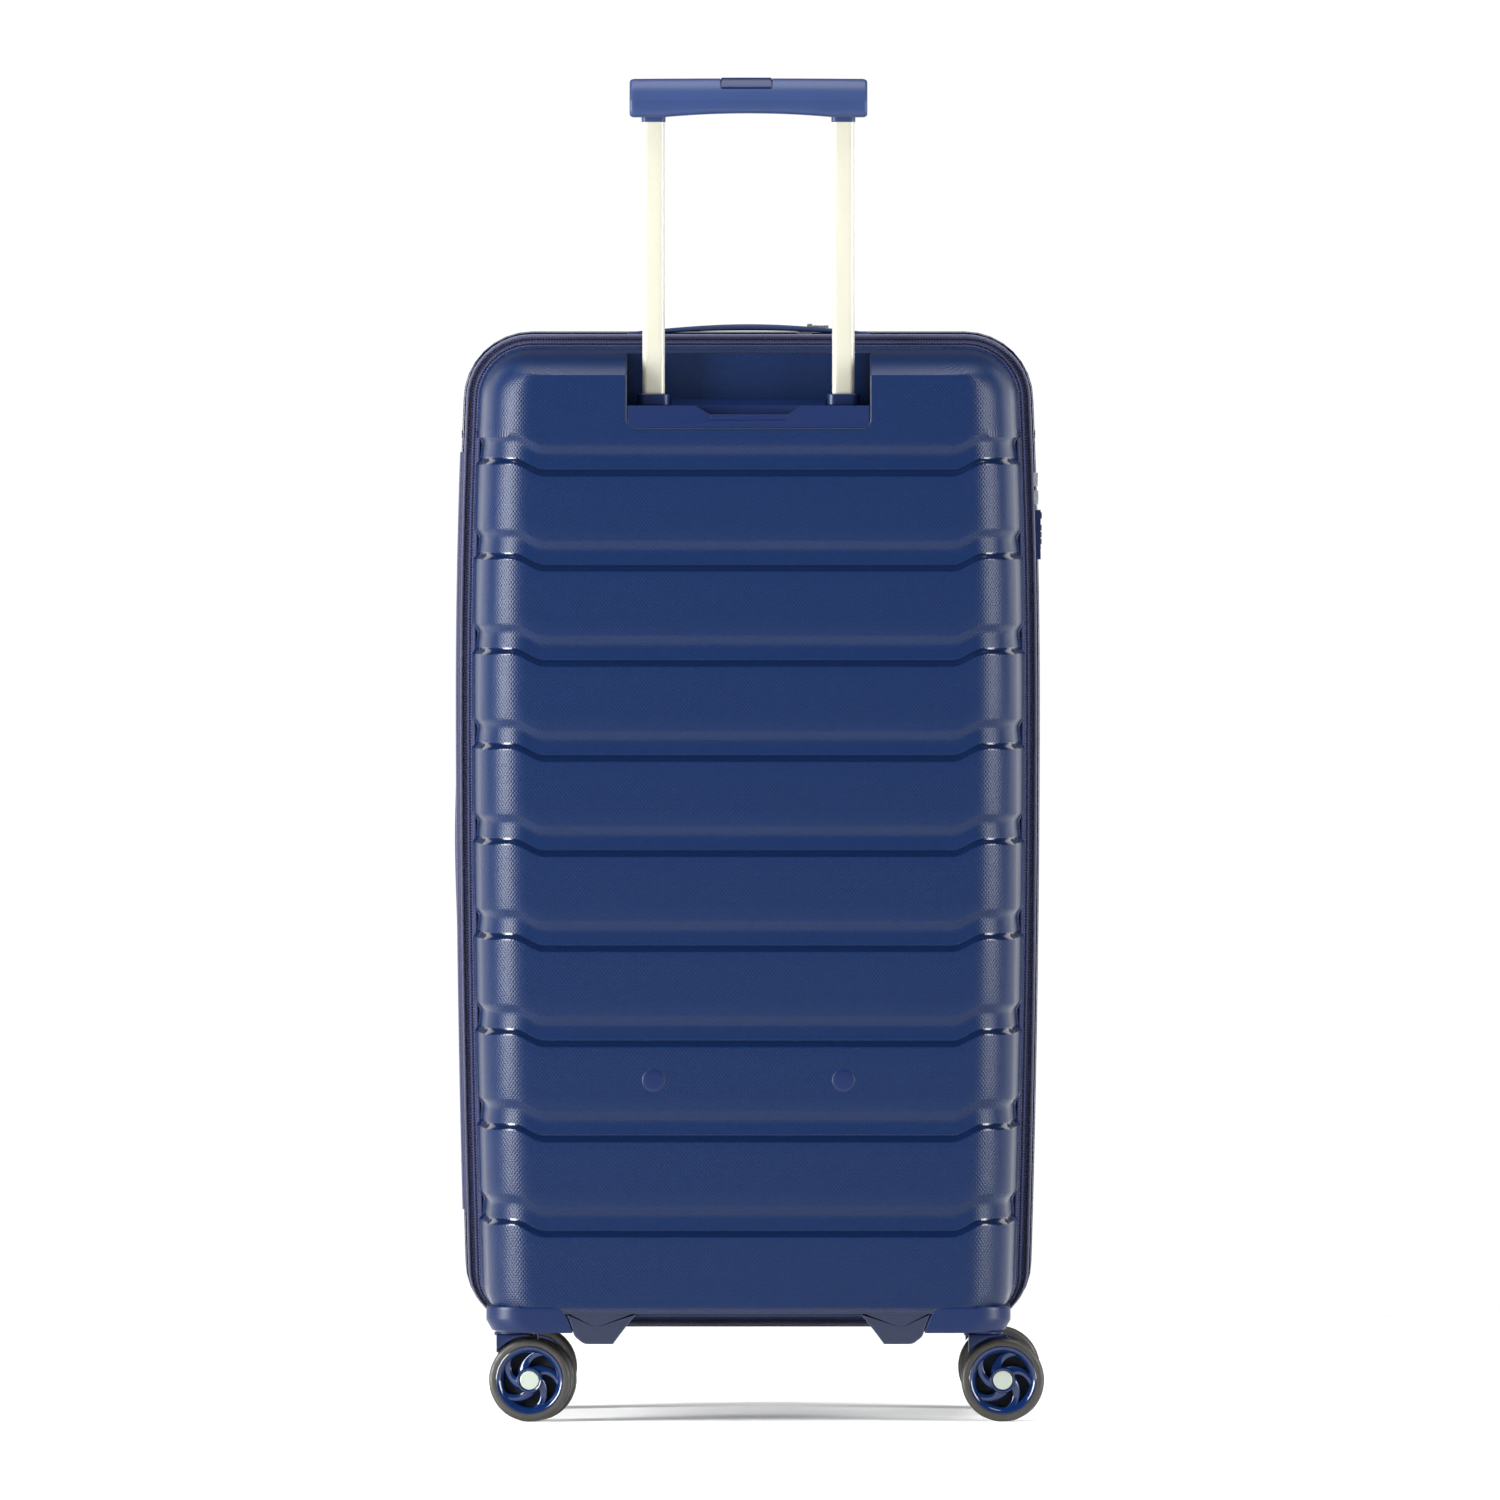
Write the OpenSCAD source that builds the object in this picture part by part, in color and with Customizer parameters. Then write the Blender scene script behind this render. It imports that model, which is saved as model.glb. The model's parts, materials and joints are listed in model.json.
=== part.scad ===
// Hard shell spinner suitcase: two ribbed shells that meet at a zip, a telescopic
// trolley handle in a well in the rear shell, and four twin-wheel casters.
// The origin is on the floor under the middle of the case. +Z is up, the trolley
// side faces -Y, and the lock is on the +X side. All sizes are in millimetres.

/* [Case] */
// Greatest half width, at the rim flange
case_half_w = 212.2; // [190:0.1:230]
// Height of the rim flange's top edge
case_top = 788; // [760:1:830]
// Height of the rim flange's bottom edge
case_base = 63; // [60:1:66]
// Half of the case depth, from the middle to either face
case_half_d = 190; // [180:1:210]
// Wall thickness of the moulded shells
wall = 3; // [2:0.5:4]
// Corner radius of the outline at the top
top_corner_r = 50; // [40:1:60]
// Corner radius of the outline at the bottom
base_corner_r = 48; // [40:1:60]
// How far each shell wall stands inside the rim flange
flange_step = 13.5; // [10:0.5:16]

/* [Ribs] */
// Height of the highest rib line
rib_top_z = 684; // [650:1:690]
// Distance from one rib line to the next
rib_pitch = 68.5; // [66:0.5:70]
// Number of rib lines on each shell
rib_count = 9; // [4:1:9]
// Depth of a rib valley
rib_depth = 2.5; // [1:0.1:3.5]
// How much higher a rib line runs round the corners
rib_jog = 8.6; // [4:0.1:12]

/* [Trolley handle] */
// Distance of each tube's centre line from the middle
tube_x = 68.4; // [60:0.1:72]
// Depth position of the tubes' centre line
tube_y = -164; // [-166:1:-160]
// Width of the inner tube
tube_w = 16.2; // [14:0.1:18]
// Thickness of the inner tube, front to back
tube_d = 12; // [10:0.1:14]
// Height of the grip's underside with the handle pulled out
grip_z = 941; // [900:1:960]
// Half length of the grip
grip_half_l = 85.7; // [80:0.1:86.5]
// Travel of the handle between stowed and pulled out
trolley_travel = 195; // [150:1:195]

/* [Casters] */
// Wheel radius
wheel_r = 30; // [26:0.5:30]
// Width of one wheel of a twin pair
wheel_w = 13; // [10:0.5:14]
// Distance of each swivel axis from the middle, across the case
caster_x = 169.5; // [165:0.5:171]
// Distance of each swivel axis from the middle, front to back
caster_y = 138; // [132:1:140]
// Trail of the wheel axle behind the swivel axis
trail = 14; // [10:0.5:16]
// Turn of the rear left caster at rest
rear_left_turn = -8; // [-20:1:20]

/* [Hidden] */
$fn = 48;
fit = 0.05;                        // running clearance of a pin in its bore
gap = 0.3;                         // clearance between parts that pass each other

widest_z = 520;                    // height at which the case is widest
top_taper = 4.7;                   // loss of half width up to the top corner
base_taper = 7.5;                  // loss of half width down to the base
rim_y = -22;                       // rear shell's rim
zip_y = -16;                       // plane where the two halves part
band_y0 = -10;                     // middle band, rear edge
band_y1 = 22;                      // middle band, front edge
split_y = 26;                      // plane of the expander zip
front_rim_y = 30;                  // front shell's rim
lip_y = 9;                         // length of the flange lip, or of the rear rim's bead
bead_inset = 11.5;                 // inset of the rear rim, which has no flange
turn_d = 40;                       // depth of the edge rounding behind each face
side_wall = 18;                    // inset of the side wall where the rounding starts
side_face = 51;                    // inset of the flat face at the sides
top_wall = 17;                     // inset of the top wall where the rounding starts
top_face = 33;                     // inset of the flat face at the top
base_wall = 13;                    // inset of the bottom wall
base_face = 16;                    // inset of the flat face at the bottom
jog_x = 145;                       // where the rib lines start to rise
min_r = 6;                         // smallest corner radius of any ring
arc_steps = 4;                     // facets of each outline corner

well_half_w = 87.5;                // handle well, inside
well_z = 717;                      // floor of the well
well_y = -146;                     // back wall of the well
liner = 2;                         // thickness of the well's liner
base_top_z = 733;                  // top of the trolley base plate
collar_top_z = 741.6;              // top of the collars round the tubes

tube_r = 4;                        // corner radius of the inner tube
tube_wall = 1.2;
sleeve_wall = 1.5;
sleeve_w = tube_w + 2*(gap + sleeve_wall);
sleeve_d = tube_d + 2*(gap + sleeve_wall);
sleeve_r = tube_r + gap + sleeve_wall;
sleeve_base = 238;                 // bottom end of the fixed tubes
tube_base = 445;                   // bottom end of the inner tubes, pulled out
anchor_z = 247;                    // height of the tube anchors and their screws
grip_h = 28;
rod_r = 2.5;                       // push rods inside the tubes
button_x0 = -20;
button_x1 = 17;

housing_z0 = 65;                   // underside of the caster housings
housing_z1 = 84;                   // top of the caster housings
housing_in = 128;                  // inner side of the housings
housing_out = 189;                 // outer side of the housings
housing_back = 82;                 // inner end of the housings, front to back
kingpin_r = 5;
axle_r = 3;
web = 4;                           // half thickness of the fork's web
side_play = 0.6;                   // play between the web and each wheel
tyre_in_r = 24.4;
hub_r = 9.5;
cap_r = 6.8;
spoke_count = 5;
foot_z = 57;                       // underside of the moulded feet

handle_y = 6;                      // middle of the carry handles, front to back
handle_half_l = 88;
handle_t = 4;                      // thickness of the handle straps
handle_mid_z = 420;                // middle height of the side handle
handle_lift = 6;                   // free travel of the handles
band_inset = 7;
band_wall = 3.5;
side_seat = case_half_w - band_inset;
top_seat = case_top - band_inset;
tape_out = 3;                      // insets of the zip tapes
tape_in = 8.5;
zip_gap = 0.15;                    // half the gap between closed zip halves
lock_x0 = 202;                     // lock housing, from the band outwards
lock_x1 = 212.4;
lock_z = 640;
lock_half_h = 18;
lock_y0 = -9;
lock_y1 = 21;
dial_x = 208.3;                    // lock dials
dial_r = 5;
dial_w = 4;
dial_pitch = 5;
dial_pin_r = 1.2;
key_y = 6;                         // key cylinder
key_z = 628;
key_r = 3.5;
release_z0 = 651.4;                // release slide, bottom and top
release_z1 = 656.4;
slider_x = 41;                     // middle of the expander's zip slider
pull_pin_x = 44.5;                 // pin of its pull
pull_pin_z = 791.5;
pull_pin_r = 1;

// ---- outline of the case, seen from behind ----

// Half width of the flange at height z: widest at widest_z, tapering up and down
function half_w(z) = z > widest_z
    ? case_half_w - top_taper*pow((z - widest_z)/(case_top - top_corner_r - widest_z), 2)
    : case_half_w - base_taper*pow((widest_z - z)/(widest_z - case_base), 2);

// Rib cross-section: [height above the rib line, share of the full depth]
rib_form = [[0, 0], [3, 0.6], [12.5, 1], [17, 0]];
rib_lines = [for (i = [rib_count - 1:-1:0]) rib_top_z - i*rib_pitch];
rib_levels = [for (z = rib_lines, f = rib_form) [z + rib_jog + f[0], f[1]*rib_depth, rib_jog]];

// Right-hand side of one ring, from the bottom corner to the top corner, as
// [x, z, rib depth, rib jog]; a, b and c are the insets at the side, top and bottom
function right_side(a, b, c) =
    let (sxb = max(base_corner_r - 2*a, min_r), szb = max(base_corner_r - 2*c, min_r),
         sxt = max(top_corner_r - a, min_r), szt = max(top_corner_r - b, min_r),
         zb = case_base + c + szb, zt = case_top - b - szt,
         xb = half_w(zb) - a - sxb, xt = half_w(zt) - a - sxt)
    concat(
        [for (i = [0:arc_steps]) let (t = -90 + 90*i/arc_steps)
            [xb + sxb*cos(t), zb + szb*sin(t), 0, 0]],
        [for (l = rib_levels) [half_w(l[0]) - a, l[0], l[1], l[2]]],
        [for (i = [0:arc_steps]) let (t = 90*i/arc_steps)
            [xt + sxt*cos(t), zt + szt*sin(t), 0, 0]]);

// Flat outline with one inset all round, as polygon points
function outline(inset) =
    let (side = right_side(inset, inset, inset), n = len(side))
    concat([for (p = side) [p[0], p[1]]],
           [for (i = [n - 1:-1:0]) [-side[i][0], side[i][1]]]);

module outline_ring(inset_out, inset_in, y0, y1) {
    translate([0, y1, 0]) rotate([90, 0, 0]) linear_extrude(y1 - y0) difference() {
        polygon(outline(inset_out));
        polygon(outline(inset_in));
    }
}

// ---- moulded shell, as one closed skin: outer rings, face, inner rings, inner face ----

// One ring at depth y; t is the turn of the surface from side wall (0) to face (90)
function ring(y, a, b, c, t) =
    let (side = right_side(a, b, c), n = len(side),
         pts = [for (p = side) [p[0] - p[2]*cos(t), y + p[2]*sin(t), p[1]]])
    concat(pts,
        [[jog_x, y, pts[n - 1][2]], [-jog_x, y, pts[n - 1][2]]],
        [for (i = [n - 1:-1:0]) [-pts[i][0], pts[i][1], pts[i][2]]],
        [[-jog_x, y, pts[0][2]], [jog_x, y, pts[0][2]]]);

// Wall and edge rounding from the rim to the face, set inwards by w; the rim's own
// inset is 0 where the shell ends in a flange
function skin(rim, rim_inset, w) =
    let (y_turn = -case_half_d + turn_d, r = rim_inset,
         step = max(r + 0.5, flange_step - 3), step_base = max(r + 0.2, base_wall - 3))
    concat(
        w > 0 ? [ring(rim, flange_step + w, flange_step + w, base_wall + w - 1, 0)]
              : [ring(rim, r, r, min(r, base_wall - 1.6), 0),
                 ring(rim - lip_y, r + 0.3, r + 0.3, min(r + 0.3, base_wall - 1.4), 0),
                 ring(rim - lip_y - 2, step, step, min(step_base, base_wall - 1.2), 0),
                 ring(rim - lip_y - 6, flange_step, flange_step, base_wall - 1, 0)],
        [for (t = [0:30:90]) ring(y_turn - (turn_d - w)*sin(t),
            side_wall + w + (side_face - side_wall - w)*(1 - cos(t)),
            top_wall + w + (top_face - top_wall - w)*(1 - cos(t)),
            base_wall + w + (base_face - base_wall)*(1 - cos(t)), t)]);

// Inner points of the face's rows, two for each pair of side points
function face_rows(w) =
    let (side = right_side(side_face, top_face, base_face + w), n = len(side))
    [for (i = [1:n - 2], s = [1, -1])
        [s*jog_x, -case_half_d + w + side[i][2], side[i][1] - side[i][3]]];

module half_shell(rim, rim_inset) {
    n = len(right_side(0, 0, 0));
    m = 2*n + 4;
    outer = skin(rim, rim_inset, 0);
    inner = skin(rim, rim_inset, wall);
    k_out = len(outer);
    k_in = len(inner);
    rows_out = face_rows(0);
    rows_in = face_rows(wall);
    base_in = m*k_out + len(rows_out);
    points = concat([for (r = outer, p = r) p], rows_out, [for (r = inner, p = r) p], rows_in);
    // bands between neighbouring rings, as triangles
    function bands(first, count, flip) = [for (j = [0:count - 2], i = [0:m - 1])
        let (a = first + j*m + i, b = first + j*m + (i + 1)%m, c = b + m, d = a + m)
        each flip ? [[a, b, c], [a, c, d]] : [[a, c, b], [a, d, c]]];
    // rows of the face: right edge, two inner points, left edge
    function row(first, count, i) =
        let (edge = first + (count - 1)*m, rows = first + count*m)
        i == 0 ? [edge, edge + m - 1, edge + m - 2, edge + m - 3]
        : i == n - 1 ? [edge + n - 1, edge + n, edge + n + 1, edge + n + 2]
        : [edge + i, rows + 2*(i - 1), rows + 2*(i - 1) + 1, edge + 2*n + 1 - i];
    function face(first, count, flip) = [for (i = [0:n - 2], c = [0:2])
        let (lo = row(first, count, i), hi = row(first, count, i + 1))
        each flip ? [[lo[c], lo[c + 1], hi[c + 1]], [lo[c], hi[c + 1], hi[c]]]
                  : [[lo[c], hi[c + 1], lo[c + 1]], [lo[c], hi[c], hi[c + 1]]]];
    rim_band = [for (i = [0:m - 1]) let (j = (i + 1)%m)
        each [[i, j, base_in + j], [i, base_in + j, base_in + i]]];
    polyhedron(points, concat(bands(0, k_out, false), face(0, k_out, false),
        bands(base_in, k_in, true), face(base_in, k_in, true), rim_band));
}

// ---- small shapes ----

// Box between two corners
module box(lo, hi) { translate(lo) cube(hi - lo); }

// Upright bar with rounded corners, centred on x and y, between two heights
module round_bar(w, d, r, z0, z1) {
    translate([0, 0, z0]) linear_extrude(z1 - z0) {
        square([w - 2*r, d], center = true);
        square([w, d - 2*r], center = true);
        for (sx = [-1, 1], sy = [-1, 1]) translate([sx*(w/2 - r), sy*(d/2 - r)]) circle(r);
    }
}

// Prism along X of a [y, z] outline, and prism along Y of an [x, z] outline
module prism_x(points, x0, x1) {
    translate([x0, 0, 0]) rotate([90, 0, 90]) linear_extrude(x1 - x0) polygon(points);
}
module prism_y(points, y0, y1) {
    translate([0, y1, 0]) rotate([90, 0, 0]) linear_extrude(y1 - y0) polygon(points);
}

// Cylinder along Y or along X
module rod_y(r, y0, y1) { translate([0, y1, 0]) rotate([90, 0, 0]) cylinder(h = y1 - y0, r = r); }
module rod_x(r, x0, x1) { translate([x0, 0, 0]) rotate([0, 90, 0]) cylinder(h = x1 - x0, r = r); }

module at_tubes() { for (s = [-1, 1]) translate([s*tube_x, tube_y, 0]) children(); }

// ---- shells, feet and caster housings ----

// One moulded foot of the shell's skirt, on the right of the trolley side
foot_form = [[97.6, foot_z], [118.4, foot_z], [125.3, 62], [127, 80.5], [81, 80.5], [89.6, 67.7]];
foot_depth = 40;

module foot() {
    prism_y(foot_form, -case_half_d, -case_half_d + foot_depth);
}

// Block that carries one caster, on the right of the trolley side
housing_form = [[126.4, housing_z0], [130.7, 75.6], [133, 80.5], [139, housing_z1],
    [housing_out, housing_z1], [housing_out, 74], [185, 67], [181, housing_z0]];
housing_corner = 26;

module housing_block() {
    intersection() {
        prism_y(housing_form, -case_half_d, -housing_back);
        translate([0, 0, housing_z0 - 1]) linear_extrude(housing_z1 - housing_z0 + 2) {
            box2([120, -case_half_d], [housing_out - housing_corner, 0]);
            box2([120, -case_half_d + housing_corner], [housing_out, 0]);
            translate([housing_out - housing_corner, -case_half_d + housing_corner])
                circle(housing_corner);
        }
    }
}

module box2(lo, hi) { translate(lo) square(hi - lo); }

module caster_housing() {
    color("#2b3f74") difference() {
        housing_block();
        translate([caster_x, -caster_y, housing_z0 - 1])
            cylinder(h = housing_z1 - housing_z0 - 1, r = kingpin_r + fit);
    }
}

// Shell with its feet, open where the housings go
module footed_shell(rim, rim_inset) {
    difference() {
        union() {
            half_shell(rim, rim_inset);
            for (s = [0, 1]) mirror([s, 0, 0]) foot();
        }
        for (s = [0, 1]) mirror([s, 0, 0]) housing_block();
    }
}

module rear_shell() {
    color("#233b6b") difference() {
        footed_shell(rim_y, bead_inset);
        box([-well_half_w - liner, -case_half_d - 1, well_z - liner],
            [well_half_w + liner, well_y + liner, case_top]);
        for (s = [-1, 1]) translate([s*tube_x, 0, anchor_z])
            rod_y(plug_r + 0.2, -case_half_d - 1, -case_half_d + wall + 1);
    }
}

module front_shell() {
    color("#233b6b") mirror([0, 1, 0]) footed_shell(-front_rim_y, 0);
}

module rear_left_housing() { mirror([1, 0, 0]) caster_housing(); }
module rear_right_housing() { caster_housing(); }
module front_left_housing() { mirror([0, 1, 0]) mirror([1, 0, 0]) caster_housing(); }
module front_right_housing() { mirror([0, 1, 0]) caster_housing(); }

// ---- handle well and fixed parts of the trolley ----

// The liner's top edge follows the rounded top of the shell
liner_edge = [for (t = [90:-15:0])
    [-case_half_d + turn_d*(1 - sin(t)), case_top - top_wall - (top_face - top_wall)*(1 - cos(t))]];

module handle_well() {
    color("#1e3159") difference() {
        prism_x(concat([[-case_half_d, well_z - liner]], liner_edge,
            [[well_y + liner, case_top - top_wall], [well_y + liner, well_z - liner]]),
            -well_half_w - liner, well_half_w + liner);
        box([-well_half_w, -case_half_d - 1, well_z], [well_half_w, well_y, case_top]);
        at_tubes() round_bar(sleeve_w, sleeve_d, sleeve_r, well_z - liner - 1, well_z + 1);
    }
}

// Base plate with a finger scoop in its front edge and a raised ledge at the back
scoop_form = [[-38.5, base_top_z + 1], [-38.5, base_top_z], [-28, 726.5], [28, 726.5],
    [38.5, base_top_z], [38.5, base_top_z + 1]];
scoop_depth = 15;
ledge_half_w = 56;
ledge_form = [[-158, base_top_z], [well_y, base_top_z], [well_y, 738.5], [-148, 738.5]];

module trolley_base() {
    color("#2f4680") {
        difference() {
            box([-well_half_w + 0.5, -case_half_d + 0.4, well_z],
                [well_half_w - 0.5, well_y, base_top_z]);
            at_tubes() round_bar(sleeve_w, sleeve_d, sleeve_r, well_z - 1, base_top_z + 1);
            prism_y(scoop_form, -case_half_d - 1, -case_half_d + scoop_depth);
            box([-28, -case_half_d - 1, 722.5], [28, -case_half_d + 1, 726.5]);
        }
        prism_x(ledge_form, -ledge_half_w, ledge_half_w);
        box([-27.7, -case_half_d + 0.2, 722.8], [27.7, -case_half_d + 1, 726.2]);
    }
}

module tube_collars() {
    color("#2f4680") at_tubes() difference() {
        round_bar(23.6, 19.6, 6, base_top_z, collar_top_z);
        round_bar(tube_w + 2*gap, tube_d + 2*gap, tube_r + gap, base_top_z - 1, collar_top_z + 1);
    }
}

module outer_tube(s) {
    color("#b9bcc0") translate([s*tube_x, tube_y, 0]) difference() {
        round_bar(sleeve_w, sleeve_d, sleeve_r, sleeve_base, base_top_z);
        round_bar(tube_w + 2*gap, tube_d + 2*gap, tube_r + gap, sleeve_base - 1, base_top_z + 1);
    }
}
module outer_tube_left() { outer_tube(-1); }
module outer_tube_right() { outer_tube(1); }

// Sockets that hold the lower ends of the fixed tubes against the shell
anchor_y0 = -case_half_d + wall;
anchor_y1 = -153;
anchor_half_w = 14;
screw_r = 1.7;
screw_head_r = 3.6;
screw_l = 12;
plug_r = 9.4;

module tube_anchors() {
    color("#26282c") difference() {
        for (s = [-1, 1]) translate([s*tube_x, 0, 0])
            box([-anchor_half_w, anchor_y0, sleeve_base - 6],
                [anchor_half_w, anchor_y1, anchor_z + 16]);
        at_tubes() round_bar(sleeve_w, sleeve_d, sleeve_r, sleeve_base, anchor_z + 17);
        for (s = [-1, 1]) translate([s*tube_x, 0, anchor_z])
            rod_y(screw_r, anchor_y0 - 1, anchor_y0 + screw_l);
    }
}

module anchor_screws() {
    color("#9a9da1") for (s = [-1, 1]) translate([s*tube_x, 0, anchor_z]) difference() {
        union() {
            rod_y(screw_head_r, anchor_y0 - 1.4, anchor_y0);
            rod_y(screw_r, anchor_y0, anchor_y0 + screw_l);
        }
        rod_y(1, anchor_y0 - 2, anchor_y0 - 0.6);
    }
}

module screw_plugs() {
    color("#34487c") for (s = [-1, 1]) translate([s*tube_x, -case_half_d, anchor_z])
        rotate([-90, 0, 0]) difference() {
            rotate_extrude() polygon([[0, -0.5], [7.6, -0.5], [plug_r, 0.6], [plug_r, wall], [0, wall]]);
            translate([0, 0, 1.2]) cylinder(h = wall, r = 7);
        }
}

// ---- sliding part of the trolley ----

module inner_tube(s) {
    color("#e9e9e2") translate([s*tube_x, tube_y, 0]) difference() {
        round_bar(tube_w, tube_d, tube_r, tube_base, grip_z + 6);
        round_bar(tube_w - 2*tube_wall, tube_d - 2*tube_wall, tube_r - tube_wall,
            tube_base - 1, grip_z + 7);
    }
}
module inner_tube_left() { inner_tube(-1); }
module inner_tube_right() { inner_tube(1); }

module tube_glides() {
    color("#202226") at_tubes() round_bar(tube_w, tube_d, tube_r, tube_base - 8, tube_base);
}

// Grip cross-section as [y, height above the underside]
grip_form = [[-178.5, 0], [-181, 3], [-181, 12], [-178, 20], [-172, 26.5], [-166, 28],
    [-158, 27], [-152.5, 22], [-151, 15], [-151, 4], [-153.5, 0]];
button_y0 = -177;
button_y1 = -160;
button_floor = 18;                 // height of the button's underside above the grip's
yoke_z = 11;                       // yoke of the push rods, above the grip's underside
yoke_h = 4;
relief_r = 433;                    // radius of the finger relief, 3 deep

module grip_bar(x0, x1) { prism_x([for (p = grip_form) [p[0], grip_z + p[1]]], x0, x1); }

module grip() {
    color("#5b73a6") difference() {
        union() {
            grip_bar(-grip_half_l, grip_half_l);
            at_tubes() round_bar(tube_w + 1.2, tube_d + 1.2, tube_r + 0.6, grip_z - 3.6, grip_z + 1);
        }
        // relief under the fingers
        translate([0, 0, grip_z + 3 - relief_r]) rod_y(relief_r, grip_form[2][0] - 1, grip_form[8][0] + 1);
        at_tubes() round_bar(tube_w, tube_d, tube_r, grip_z - 5, grip_z + 6);
        box([-74, -169, grip_z + 6], [74, -159, grip_z + yoke_z + yoke_h + 1]);
        box([button_x0 - gap, button_y0 - gap, grip_z + yoke_z + yoke_h],
            [button_x1 + gap, button_y1 + gap, grip_z + grip_h + 1]);
    }
}

module release_button() {
    color("#6d84b4") {
        intersection() {
            translate([0, 0, 0.6]) grip_bar(button_x0, button_x1);
            box([button_x0, button_y0, grip_z + button_floor],
                [button_x1, button_y1, grip_z + grip_h + 1]);
        }
        box([-6, -167, grip_z + yoke_z + yoke_h], [6, -161, grip_z + button_floor]);
    }
}

module push_rods() {
    color("#8d9095") {
        box([-tube_x - 3, -167, grip_z + yoke_z], [tube_x + 3, -161, grip_z + yoke_z + yoke_h]);
        at_tubes() translate([0, 0, tube_base + 8])
            cylinder(h = grip_z + yoke_z - tube_base - 8, r = rod_r);
    }
}

module button_springs() {
    color("#8d9095") at_tubes() translate([0, 0, grip_z + 6]) difference() {
        cylinder(h = yoke_z - 6, r = rod_r + 1.6);
        translate([0, 0, -1]) cylinder(h = yoke_z, r = rod_r + 0.6);
    }
}

// ---- zips, middle band and what it carries ----

module rear_zip_tape() {
    color("#2b3048") outline_ring(tape_out, bead_inset + 3, rim_y, zip_y - zip_gap);
}

module band_zip_tapes() {
    color("#2b3048") {
        outline_ring(tape_out, tape_in, zip_y + zip_gap, band_y0);
        outline_ring(tape_out, tape_in, band_y1, split_y - zip_gap);
    }
}

module front_zip_tape() {
    color("#2b3048") outline_ring(tape_out, tape_in, split_y + zip_gap, front_rim_y);
}

module expander_gusset() {
    color("#22283c") outline_ring(band_inset + band_wall, band_inset + band_wall + 1.5,
        band_y1 - 8, front_rim_y);
}

// Fabric strip that joins the two halves along the -X side
hinge_levels = [150:50:700];

module hinge_tape() {
    color("#262c44") prism_y(concat(
        [for (z = hinge_levels) [tape_out - half_w(z) - gap, z]],
        [for (z = [700:-50:150]) [-half_w(z) - 0.5, z]]), rim_y + 0.2, band_y0 - 0.2);
}

module divider() {
    color("#3a4260") translate([0, band_y0 + 2, 0]) rotate([90, 0, 0])
        linear_extrude(1.5) polygon(outline(band_inset + band_wall));
}

// Places a carry handle's own frame: x along it, z outwards from the band
module at_top() { translate([0, handle_y, top_seat]) children(); }
module at_side() {
    translate([-side_seat, handle_y, handle_mid_z]) rotate([0, -90, 0]) children();
}

leg_w = 8;                         // legs of a handle, along it
leg_half_d = 6;                    // and across it
leg_end = 15;                      // how far the legs reach below the band's surface
foot_t = 3;                        // thickness of the feet that hold the legs in
plate_sink = 1.5;                  // how deep the end plates sit in the band

module handle_strap(rise) {
    top = [for (i = [-8:8]) [handle_half_l*i/8, rise + 2.4 + handle_t - rise*pow(i/8, 2)]];
    union() {
        prism_y(concat(top, [for (i = [8:-1:-8]) top[i + 8] - [0, handle_t]]), -11, 11);
        for (s = [-1, 1]) translate([s*(handle_half_l - 5), 0, 0]) {
            box([-leg_w/2, -leg_half_d, -leg_end], [leg_w/2, leg_half_d, 4]);
            box([-leg_w/2 - 4, -leg_half_d, -leg_end], [leg_w/2 + 4, leg_half_d, foot_t - leg_end]);
        }
    }
}

module handle_slots(grow) {
    for (s = [-1, 1]) translate([s*(handle_half_l - 5), 0, 0])
        box([-leg_w/2 - grow, -leg_half_d - grow, -20], [leg_w/2 + grow, leg_half_d + grow, 20]);
}

module end_plates() {
    for (s = [-1, 1]) translate([s*(handle_half_l - 5), 0, 0])
        box([-10, -12, -plate_sink], [10, 12, 2]);
}

module lock_block() {
    box([lock_x0, lock_y0, lock_z - lock_half_h], [lock_x1, lock_y1, lock_z + lock_half_h]);
}

module middle_band() {
    color("#2a3a68") difference() {
        outline_ring(band_inset, band_inset + band_wall, band_y0, band_y1);
        at_top() { handle_slots(0.4); end_plates(); }
        at_side() { handle_slots(0.4); end_plates(); }
        lock_block();
    }
}

module handle_end_plates() {
    color("#24335e") {
        at_top() difference() { end_plates(); handle_slots(0.4); }
        at_side() difference() { end_plates(); handle_slots(0.4); }
    }
}

module top_handle() { color("#2c3a62") at_top() handle_strap(6.6); }
module side_handle() { color("#2c3a62") at_side() handle_strap(1.6); }

// ---- lock ----

dial_span = 2*dial_pitch + dial_w;

module lock_housing() {
    color("#2a3c70") difference() {
        lock_block();
        for (i = [-1:1]) translate([dial_x, handle_y, lock_z + i*dial_pitch - dial_w/2 - gap])
            cylinder(h = dial_w + 2*gap, r = dial_r + 0.4);
        translate([0, key_y, key_z]) rod_x(key_r + fit, lock_x0 + 2, lock_x1 + 1);
        box([lock_x0 + 5, -0.3, release_z0 - 2.8], [lock_x1 + 1, 12.3, release_z1 + gap]);
    }
    color("#8d9095") translate([dial_x, handle_y, lock_z - dial_span/2 - 1])
        cylinder(h = dial_span + 2, r = dial_pin_r);
}

module lock_dial(i) {
    color("#1f2a4a") translate([dial_x, handle_y, lock_z + i*dial_pitch - dial_w/2]) difference() {
        cylinder(h = dial_w, r = dial_r);
        translate([0, 0, -1]) cylinder(h = dial_w + 2, r = dial_pin_r + fit);
        for (a = [0:36:324]) rotate(a) translate([dial_r + 0.25, 0, -1]) cylinder(h = dial_w + 2, r = 0.5);
    }
}
module lock_dial_1() { lock_dial(-1); }
module lock_dial_2() { lock_dial(0); }
module lock_dial_3() { lock_dial(1); }

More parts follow.
